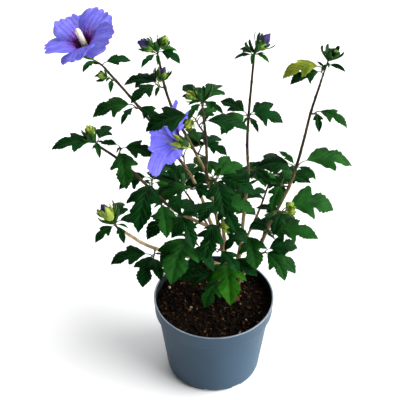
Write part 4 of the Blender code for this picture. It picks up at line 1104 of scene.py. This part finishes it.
def dress_peat(piece, chance):
    """The filling of the pot, its top crumbled, with loose crumbs, fibres and pale grit on it."""
    top_out = COLLAR_FOOT_RADIUS - POT_WALL - 0.0009
    clear = POT_WALL + GAP
    below = [(BODY_FOOT_RADIUS - clear - FOOT_ROUNDING, POT_FLOOR + GAP),
             (BODY_FOOT_RADIUS - clear - 0.0004, POT_FLOOR + FOOT_ROUNDING + 0.0004),
             (BODY_TOP_RADIUS - clear - 0.0006, POT_HEIGHT - COLLAR_DEPTH - 0.0016)]
    ways = [(math.cos(t), math.sin(t)) for t in np.arange(PEAT_STEPS) * math.tau / PEAT_STEPS]
    points = [(radius * x, radius * y, z) for radius, z in below for x, y in ways]
    for ring in range(PEAT_RINGS, 0, -1):
        radius = top_out * ring / PEAT_RINGS
        points += [(radius * x, radius * y, peat_height(radius * x, radius * y)) for x, y in ways]
    piece.add(points, rod_faces(len(below) + PEAT_RINGS, PEAT_STEPS), PEAT)
    scatter_crumbs(piece, chance, top_out)
    scatter_straws(piece, chance, top_out - 0.006)


def scatter_crumbs(piece, chance, reach):
    """Loose crumbs, most of them dark."""
    ball = bmesh.new()
    bmesh.ops.create_icosphere(ball, subdivisions=1, radius=1.0)
    knots = np.array([v.co[:] for v in ball.verts])
    sides = [tuple(v.index for v in f.verts) for f in ball.faces]
    ball.free()
    spin = np.random.default_rng(7)
    for _ in range(CRUMBS):
        size = chance.uniform(0, 1)**4 * (CRUMB_SIZES[1] - CRUMB_SIZES[0]) + CRUMB_SIZES[0]
        x, y = on_peat(chance, reach - size * 1.2)
        if from_stool(x, y) < CRUMBS_CLEAR:
            continue
        lumpy = knots * spin.uniform(0.7, 1.25, (len(knots), 1)) * size * spin.uniform(0.6, 1.3, 3)
        axes, _ = np.linalg.qr(spin.normal(size=(3, 3)))
        tone = chance.random()
        slot = next(slot for below, slot in CRUMB_TONES if tone < below)
        place = np.array([x, y, peat_height(x, y) + size * chance.uniform(-0.1, 0.45)])
        piece.add(lumpy @ axes + place, sides, slot)


def scatter_straws(piece, chance, reach):
    """Fibres that lie on the peat."""
    for _ in range(STRAWS):
        x, y = on_peat(chance, reach)
        way = chance.uniform(0, math.pi)
        if from_stool(x, y) < STRAWS_CLEAR:
            continue
        long = chance.uniform(*STRAW_LENGTHS)
        middle = np.array([x, y, peat_height(x, y) + 0.0006])
        lay = np.array([math.cos(way), math.sin(way), chance.uniform(-0.25, 0.25)]) * long / 2
        bend = np.array([0, 0, 0.0004])
        piece.add(*rod([middle - lay, middle + bend, middle + lay], STRAW_RADII, 5),
                  RUST if chance.random() < 0.9 else GRIT)


# ---- pot ----
POT_TURN = 144
BODY_SHARES = (0.12, 0.25, 0.4, 0.55, 0.7, 0.82, 0.92)
FOOT_STEPS = 6
# material numbers after the plastic: the lip's painted highlight, then painted shade inside the pot and its
# slots
LIP_HIGHLIGHT, SHADED_INSIDE = 1, 2
SLOT_CORNERS = ((-SLOT_DEPTH, 0.5), (0.004, 0.5), (0.004, -0.5), (-SLOT_DEPTH, -0.5))
LIP_HIGHLIGHT_BAND = 0.0012  # the lip's rounding is painted paler, a painted highlight
UNSHADED_BAND = 0.0015  # below this the inside is painted dark as shade


def around(radius, height, offsets):
    """Corners of the section, set out from one of its points."""
    return [(radius + out, height + up) for out, up in offsets]


def pot_profile():
    """The pot's section, from the middle of its floor over the lip to the middle of its underside."""
    inside_foot = BODY_FOOT_RADIUS - POT_WALL
    collar_z = POT_HEIGHT - COLLAR_DEPTH
    inner = [
        (0, POT_FLOOR), (inside_foot - FOOT_ROUNDING, POT_FLOOR), (inside_foot, POT_FLOOR + FOOT_ROUNDING),
        (BODY_TOP_RADIUS - POT_WALL, collar_z - 0.001), (COLLAR_FOOT_RADIUS - POT_WALL, collar_z + 0.003)]
    rim = around(RIM_RADIUS, POT_HEIGHT, (
        (-POT_WALL - LIP_ROLL, -0.0004), (-POT_WALL - 0.0004, 0), (-0.0006, 0), (0, -0.0006), (0, -0.0030),
        (-0.0006, -0.0040)))
    collar = around(COLLAR_FOOT_RADIUS, collar_z, ((0.0002, 0.0016), (-0.0003, 0.0006), (-0.0014, 0)))
    step = around(BODY_TOP_RADIUS, collar_z, ((0.0004, -0.0014), (0, -0.0030)))
    out, up = step[-1]
    body = [(out + (BODY_FOOT_RADIUS - out) * f, up + (FOOT_ROUNDING - up) * f) for f in BODY_SHARES]
    turns = [math.radians(90 * i / FOOT_STEPS) for i in range(FOOT_STEPS + 1)]
    foot = [(-FOOT_ROUNDING * (1 - math.cos(a)), FOOT_ROUNDING * (1 - math.sin(a))) for a in turns]
    return [*inner, *rim, *collar, *step, *body, *around(BODY_FOOT_RADIUS, 0, foot), (0.040, 0), (0, 0)]


def dress_pot(finishes):
    """The moulded pot: a rolled lip, a collar with its groove, a thin tapering wall and slots in its foot."""
    profile = pot_profile()
    mesh = bpy.data.meshes.new("pot_shell")
    mesh.from_pydata([(x, 0, z) for x, z in profile], [(i, i + 1) for i in range(len(profile) - 1)], [])
    pot = add_object("pot_shell", mesh)
    turn = pot.modifiers.new("turn", "SCREW")
    turn.steps = turn.render_steps = POT_TURN
    turn.use_merge_vertices = True
    turn.merge_threshold = 0.0001
    slots = slot_blocks()
    cut = pot.modifiers.new("slots", "BOOLEAN")
    cut.object = slots
    cut.solver = "EXACT"
    seen = pot.evaluated_get(bpy.context.evaluated_depsgraph_get())
    made = bpy.data.meshes.new_from_object(seen)
    pot.modifiers.clear()
    pot.data = made
    bpy.data.objects.remove(slots)
    made.materials.clear()
    for finish in finishes:
        made.materials.append(finish)
    for face in made.polygons:
        inward = face.center.x * face.normal.x + face.center.y * face.normal.y < 0
        # painted highlight: the top band of the lip gets the paler lip material
        if face.center.z > POT_HEIGHT - LIP_HIGHLIGHT_BAND:
            face.material_index = LIP_HIGHLIGHT
        # painted shade: the inner wall below the lip and the slots' insides get a near-black material
        elif inward and POT_FLOOR < face.center.z < POT_HEIGHT - UNSHADED_BAND:
            face.material_index = SHADED_INSIDE
        elif 0.0003 < face.center.z < SLOT_HEIGHT + 0.0002 and not 0.05 < abs(face.normal.z) < 0.95:
            face.material_index = SHADED_INSIDE  # the slots' insides, painted dark as shade
    made.shade_smooth()
    made.set_sharp_from_angle(angle=math.radians(38))
    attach(pot, "root")
    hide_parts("pot")


def slot_blocks():
    """The cutter for the drainage slots."""
    points, faces = [], []
    for k in range(SLOTS):
        turn = math.radians(FIRST_SLOT + 360 / SLOTS * k)
        out = np.array([math.cos(turn), math.sin(turn), 0])
        side = np.array([-math.sin(turn), math.cos(turn), 0])
        first = len(points)
        for z in (-0.002, SLOT_HEIGHT):
            for reach, half in SLOT_CORNERS:
                corner = out * (BODY_FOOT_RADIUS + reach) + side * half * SLOT_WIDTH
                points.append(corner + np.array([0, 0, z]))
        box = [(0, 1, 2, 3), (7, 6, 5, 4), (0, 4, 5, 1), (1, 5, 6, 2), (2, 6, 7, 3), (3, 7, 4, 0)]
        faces += [tuple(first + i for i in face) for face in box]
    mesh = bpy.data.meshes.new("slot_blocks")
    mesh.from_pydata(points, [], faces)
    work = bmesh.new()
    work.from_mesh(mesh)
    bmesh.ops.recalc_face_normals(work, faces=work.faces)
    work.to_mesh(mesh)
    work.free()
    made = add_object("slot_blocks", mesh)
    made.hide_render = True
    return made


# ---- materials ----
RAMP = (0.32, 0.70)  # the stretch of the noise over which the colours change


def filled(node, **values):
    """The node with these values on its sockets; an underscore stands for a space."""
    for label, value in values.items():
        node.inputs[label.replace("_", " ")].default_value = value
    return node


def finish_of(name, colours, scale, rough, bump, fine, stretch=(1, 1, 1), specular=0.5, soft=0.0):
    """A procedural material: noise between colours, a rough range, and bump from a finer noise."""
    made = bpy.data.materials.new(name)
    made.use_nodes = True
    nodes = made.node_tree.nodes
    shader = filled(nodes["Principled BSDF"], Specular_IOR_Level=specular, Subsurface_Weight=soft,
                    Subsurface_Radius=(1.0, 1.0, 1.0), Subsurface_Scale=0.003)
    place = nodes.new("ShaderNodeTexCoord")
    mapping = filled(nodes.new("ShaderNodeMapping"), Scale=stretch)
    cloud = filled(nodes.new("ShaderNodeTexNoise"), Scale=scale, Detail=5)
    ramp = nodes.new("ShaderNodeValToRGB")
    stops = ramp.color_ramp.elements
    stops[0].position, stops[1].position = RAMP
    stops[0].color, stops[1].color = (*colours[0], 1), (*colours[-1], 1)
    for i, colour in enumerate(colours[1:-1]):
        added = stops.new(RAMP[0] + (RAMP[1] - RAMP[0]) * (i + 1) / (len(colours) - 1))
        added.color = (*colour, 1)
    spread = filled(nodes.new("ShaderNodeMapRange"), From_Min=0.3, From_Max=0.7,
                    To_Min=rough[0], To_Max=rough[1])
    grain = filled(nodes.new("ShaderNodeTexNoise"), Scale=fine, Detail=3)
    lift = filled(nodes.new("ShaderNodeBump"), Strength=bump[0], Distance=bump[1])
    for source, out, sink, into in (
            (place, "Object", mapping, "Vector"), (mapping, "Vector", cloud, "Vector"),
            (cloud, "Fac", ramp, "Fac"), (ramp, "Color", shader, "Base Color"),
            (cloud, "Fac", spread, "Value"), (spread, "Result", shader, "Roughness"),
            (mapping, "Vector", grain, "Vector"), (grain, "Fac", lift, "Height"),
            (lift, "Normal", shader, "Normal")):
        made.node_tree.links.new(source.outputs[out], sink.inputs[into])
    return made


def pick(finishes, keys):
    return [finishes[key] for key in keys.split()]


LEAF = dict(scale=45, rough=(0.46, 0.60), bump=(0.25, 0.0004), fine=900, specular=0.035)
PETAL = dict(scale=120, rough=(0.60, 0.75), bump=(0.20, 0.0003), fine=700, specular=0.12, soft=0.5)
BARK = dict(scale=110, rough=(0.75, 0.9), bump=(0.7, 0.0005), fine=420, stretch=(1, 1, 0.25), specular=0.12)
CALYX = dict(scale=220, rough=(0.5, 0.62), bump=(0.25, 0.0003), fine=900, specular=0.3)
SOIL = dict(scale=260, rough=(0.90, 1.0), bump=(0.6, 0.0006), fine=1600, specular=0.04)
FINISHES = {  # each material's name, its colours in turn over the noise, and its surface
    "dark": ("leaf_dark", [(0.0003, 0.011, 0.0006), (0.0024, 0.034, 0.0050)], LEAF),
    "mid": ("leaf_mid", [(0.0012, 0.025, 0.0016), (0.0110, 0.070, 0.0080)], LEAF),
    "fresh": ("leaf_fresh", [(0.004, 0.048, 0.001), (0.020, 0.102, 0.003)], LEAF),
    "lime": ("leaf_lime", [(0.050, 0.110, 0.006), (0.440, 0.500, 0.050)], LEAF),
    "under": ("leaf_under", [(0.006, 0.038, 0.006), (0.018, 0.070, 0.016)],
              LEAF | dict(rough=(0.6, 0.75), bump=(0.3, 0.0004), specular=0.06)),
    "vein": ("leaf_vein", [(0.006, 0.050, 0.008), (0.018, 0.086, 0.018)],
             LEAF | dict(scale=60, rough=(0.5, 0.6), bump=(0.1, 0.0002), specular=0.08)),
    "stalk": ("leaf_stalk", [(0.030, 0.040, 0.010), (0.065, 0.050, 0.020), (0.045, 0.085, 0.016)],
              LEAF | dict(scale=70, rough=(0.45, 0.6), bump=(0.2, 0.0002), fine=800, specular=0.15)),
    "old": ("bark_old", [(0.060, 0.044, 0.020), (0.150, 0.115, 0.055), (0.290, 0.235, 0.125)], BARK),
    "straw": ("bark_straw", [(0.160, 0.105, 0.050), (0.340, 0.250, 0.135), (0.520, 0.420, 0.260)], BARK),
    "young": ("bark_young", [(0.010, 0.007, 0.0035), (0.028, 0.018, 0.008), (0.070, 0.048, 0.022)],
              BARK | dict(scale=120, rough=(0.6, 0.75), bump=(0.5, 0.0004), fine=500)),
    "stained": ("bark_stained", [(0.020, 0.012, 0.006), (0.075, 0.045, 0.022)],
                BARK | dict(scale=160, rough=(0.8, 0.95), stretch=(1, 1, 1), specular=0.08)),
    "calyx": ("calyx_green", [(0.130, 0.220, 0.012), (0.420, 0.500, 0.065)], CALYX),
    "bract": ("bract_green", [(0.002, 0.026, 0.003), (0.016, 0.074, 0.008)], CALYX | dict(specular=0.12)),
    "leafy": ("calyx_leafy", [(0.020, 0.075, 0.006), (0.170, 0.270, 0.030)], CALYX | dict(specular=0.15)),
    "roll": ("petal_rolled", [(0.016, 0.009, 0.044), (0.060, 0.040, 0.160)], PETAL),
    "eye": ("petal_eye", [(0.006, 0.0005, 0.006), (0.030, 0.001, 0.026)], PETAL),
    "deep": ("petal_deep", [(0.070, 0.006, 0.150), (0.140, 0.030, 0.330)], PETAL),
    "halo": ("petal_halo", [(0.125, 0.072, 0.500), (0.160, 0.110, 0.620)], PETAL),
    "blue": ("petal_blue", [(0.088, 0.075, 0.550), (0.126, 0.112, 0.680)], PETAL),
    "back": ("petal_back", [(0.054, 0.046, 0.340), (0.086, 0.078, 0.470)], PETAL),
    # paler petal colour for the painted highlight streaks
    "pale": ("petal_pale_sheen", [(0.124, 0.114, 0.680), (0.172, 0.166, 0.780)], PETAL),
    "cream": ("stamen_cream", [(0.72, 0.64, 0.48), (0.88, 0.83, 0.72)],
              dict(scale=300, rough=(0.5, 0.65), bump=(0.3, 0.0003), fine=900, specular=0.3)),
    "peat": ("peat_black", [(0.002, 0.0014, 0.001), (0.008, 0.005, 0.0035)], SOIL),
    "crumb": ("peat_dark", [(0.003, 0.002, 0.0014), (0.013, 0.008, 0.005)], SOIL),
    "brown": ("peat_brown", [(0.014, 0.007, 0.004), (0.045, 0.022, 0.010)], SOIL),
    "rust": ("peat_rust", [(0.060, 0.028, 0.010), (0.170, 0.085, 0.032)], SOIL),
    "grit": ("peat_grit", [(0.22, 0.14, 0.09), (0.42, 0.33, 0.26)], SOIL),
    "pot": ("pot_plastic", [(0.026, 0.054, 0.086), (0.034, 0.066, 0.102)],
            dict(scale=14, rough=(0.42, 0.54), bump=(0.12, 0.0003), fine=260, specular=0.14)),
    # near-black: painted shade on the pot's inner wall and in its slots
    "soiled": ("pot_painted_shade", [(0.004, 0.004, 0.004), (0.016, 0.020, 0.026)],
               dict(scale=120, rough=(0.7, 0.9), bump=(0.4, 0.0004), fine=700, specular=0.1)),
    # a paler lip colour: painted highlight along the rolled lip
    "lip": ("pot_lip_painted_highlight", [(0.130, 0.170, 0.220), (0.210, 0.250, 0.300)],
            dict(scale=60, rough=(0.30, 0.45), bump=(0.12, 0.0003), fine=260, specular=0.5)),
    "floor": ("floor", [(0.93, 0.93, 0.93), (0.95, 0.95, 0.95)],
              dict(scale=3, rough=(0.8, 0.9), bump=(0.02, 0.0003), fine=40, specular=0.1)),
}


# ---- stage ----
CAMERA_AT = (-0.0218, -1.2452, 1.3427)
CAMERA_PITCH = 38.9
CAMERA_LENS = 97.74
SENSOR_WIDTH = 36
SKY_STRENGTH = 0.15
FLOOR_REACH = 20.0
FLOOR_DROP = 0.0003
SUNS = {  # broad soft lights: the bearing and rise of where each comes from, its spread and its power
    "right_low": (-15, 15, 1.1, 8.3),
    "right_high": (0, 35, 1.2, 1.8),
    "behind": (90, 45, 1.2, 1.9),
}


def set_stage(finishes):
    scene = bpy.context.scene
    scene.world = bpy.data.worlds.new("studio")
    scene.world.use_nodes = True
    filled(scene.world.node_tree.nodes["Background"], Color=(1.0, 1.0, 1.0, 1), Strength=SKY_STRENGTH)
    scene.view_settings.view_transform = "Standard"
    mesh = bpy.data.meshes.new("floor")
    corners = ((-1, -1), (1, -1), (1, 1), (-1, 1))
    mesh.from_pydata([(x * FLOOR_REACH, y * FLOOR_REACH, 0) for x, y in corners], [], [(0, 1, 2, 3)])
    mesh.materials.append(finishes["floor"])
    floor = add_object("floor", mesh)
    floor.location.z = -FLOOR_DROP
    for name, sun in SUNS.items():
        add_sun(name, *sun)
    camera = bpy.data.cameras.new("camera")
    camera.sensor_width = SENSOR_WIDTH
    camera.lens = CAMERA_LENS
    eye = add_object("camera", camera)
    eye.location = CAMERA_AT
    eye.rotation_euler = (math.radians(90 - CAMERA_PITCH), 0, 0)
    scene.camera = eye


def add_sun(name, bearing, rise, spread, power):
    light = bpy.data.lights.new(name, "SUN")
    light.energy = power
    light.angle = spread
    made = add_object(name, light)
    made.rotation_euler = Vector(aim(bearing, rise)).to_track_quat("Z", "Y").to_euler()


# ---- putting it together ----
FOLIAGE = {  # which limbs' sprays each piece of foliage takes
    "left": ("bough_low_left", "bough_left", "bough_flower"),
    "centre": ("stem_centre",),
    "right": ("stem_right",),
    "back": ("stem_back", "bough_back_left", "bough_low_back", "bough_low_rear"),
}
SEEN_TONES = {  # of single leaves that stand out
    ("leaves_front", 0): FRESH, ("leaves_right_lower", 0): MID, ("leaves_right_tip", 0): DARK,
    ("leaves_right_tip", 1): LIME, ("leaves_right_tip", 2): DARK, ("leaves_low_left_foot", 2): MID}
OPENING = {  # the share of each opening bud that its calyx covers
    ("leaves_back_tip", 0): 0.46, ("leaves_back_left_tip", 0): 0.56, ("leaves_low_left_tip", 0): 0.86,
    ("leaves_back_left_upper", 0): 0.87}
CLOSED = 0.92
LEAFY_BUDS = (  # those with a duller, greener calyx
    "leaves_back_tip", "leaves_back_left_tip", "leaves_back_left_upper", "leaves_flower_tip",
    "leaves_right_tip")
SHOOT = (0.022, 0.0032, 7)  # the length, half width and count of the young leaves that end a limb


def leaf_tone(name, i, leaf, chance):
    if (name, i) in SEEN_TONES:
        return SEEN_TONES[name, i]
    draw = chance.random()
    if leaf.blade < 0.030:
        return DARK if draw < 0.40 else MID if draw < 0.92 else FRESH
    return DARK if draw < 0.66 else MID


def dress_foliage(paths, sprays, finishes):
    small = leaflets(paths, sprays)
    for group, limbs in FOLIAGE.items():
        blades, stalks = Piece(), Piece()
        names = [n for n, spray in SPRAYS.items() if spray.limb in limbs]
        for name in names:
            chance = random.Random(name + " dress")
            twig, leaves, *_ = sprays[name]
            for i, leaf in enumerate([*leaves, *small[name]]):
                dress_leaf(blades, leaf, chance, leaf_tone(name, i, leaf, chance))
                dress_stalk(stalks, leaf, 0)
            dress_twig(stalks, name, twig, chance)
        kept = [n for n in names if not SPRAYS[n].bloom]
        blades.make("leaves_" + group, pick(finishes, "dark mid fresh under vein lime"), "foliage", kept)
        stalks.make("twigs_" + group, pick(finishes, "stalk young"), "foliage")


def dress_twig(piece, name, twig, chance):
    """A twig that grows on from its limb, with small swellings where its leaves leave it."""
    spray = SPRAYS[name]
    limb = LIMBS[spray.limb]
    line = spline(list(twig), 14)
    width = limb.tip_radius if spray.at == 1.0 else TWIG_ROOT_RADIUS
    sunk = 0.002 if spray.at == 1.0 else limb_radius(limb, spray.at) * 0.9
    line = np.concatenate([[line[0] - unit(line[1] - line[0]) * sunk], line])
    radii = np.linspace(width, TWIG_TIP_RADIUS, len(line))
    radii = radii * (1 + 0.12 * np.sin(np.arange(len(line)) * 1.9 + chance.uniform(0, 6)))
    piece.add(*rod(line, radii, 10), 1)


def dress_blooms(sprays, finishes):
    for name, fullness in FULLNESS.items():
        chance = random.Random(name + " petals")
        bloom = sprays[name][3]
        petals, column = Piece(), Piece()
        for k in range(PETALS):
            dress_petal(petals, bloom, k, chance, fullness)
        dress_column(column, bloom, chance)
        petals.make(name + "_petals", pick(finishes, "eye deep halo blue pale back"), "bloom", [name])
        column.make(name + "_stamens", pick(finishes, "cream"), "bloom")


def dress_buds(sprays, finishes):
    """The buds, the blooms' calyces and the young leaves that end each limb."""
    green = Piece()
    for name, (twig, _, buds, bloom) in sprays.items():
        chance = random.Random(name + " buds")
        for i, bud in enumerate(buds):
            dress_bud(green, bud, chance, OPENING.get((name, i), CLOSED), name in LEAFY_BUDS)
        if bloom:
            dress_cup(green, bloom, chance)
        elif SPRAYS[name].at == 1.0:
            length, wide, count = SHOOT
            prongs(green, twig[-1], unit(twig[-1] - twig[-2]), length, count, chance, wide)
    green.make("buds", pick(finishes, "calyx roll bract leafy"), "foliage")


def dress_limbs(paths, finishes):
    wood = Piece()
    for name, path in paths.items():
        knots = [spray.at for spray in SPRAYS.values() if spray.limb == name and spray.at < 1]
        knots += [limb.at for limb in LIMBS.values() if limb.carrier == name]
        dress_limb(wood, name, path, knots, random.Random(name + " bark"))
    dress_stool(wood)
    wood.make("wood", pick(finishes, "old young stained straw"), "bark", [*LIMBS, "stem_stool"], sharp=60)


def main():
    finishes = {key: finish_of(name, colours, **look) for key, (name, colours, look) in FINISHES.items()}
    set_stage(finishes)
    dress_pot(pick(finishes, "pot lip soiled"))
    peat = Piece()
    dress_peat(peat, random.Random("peat crumbs"))
    peat.make("peat_top", pick(finishes, "peat crumb brown rust grit"), "peat", ["peat"])
    paths, sprays = grow()
    dress_limbs(paths, finishes)
    dress_foliage(paths, sprays, finishes)
    dress_blooms(sprays, finishes)
    dress_buds(sprays, finishes)


main()
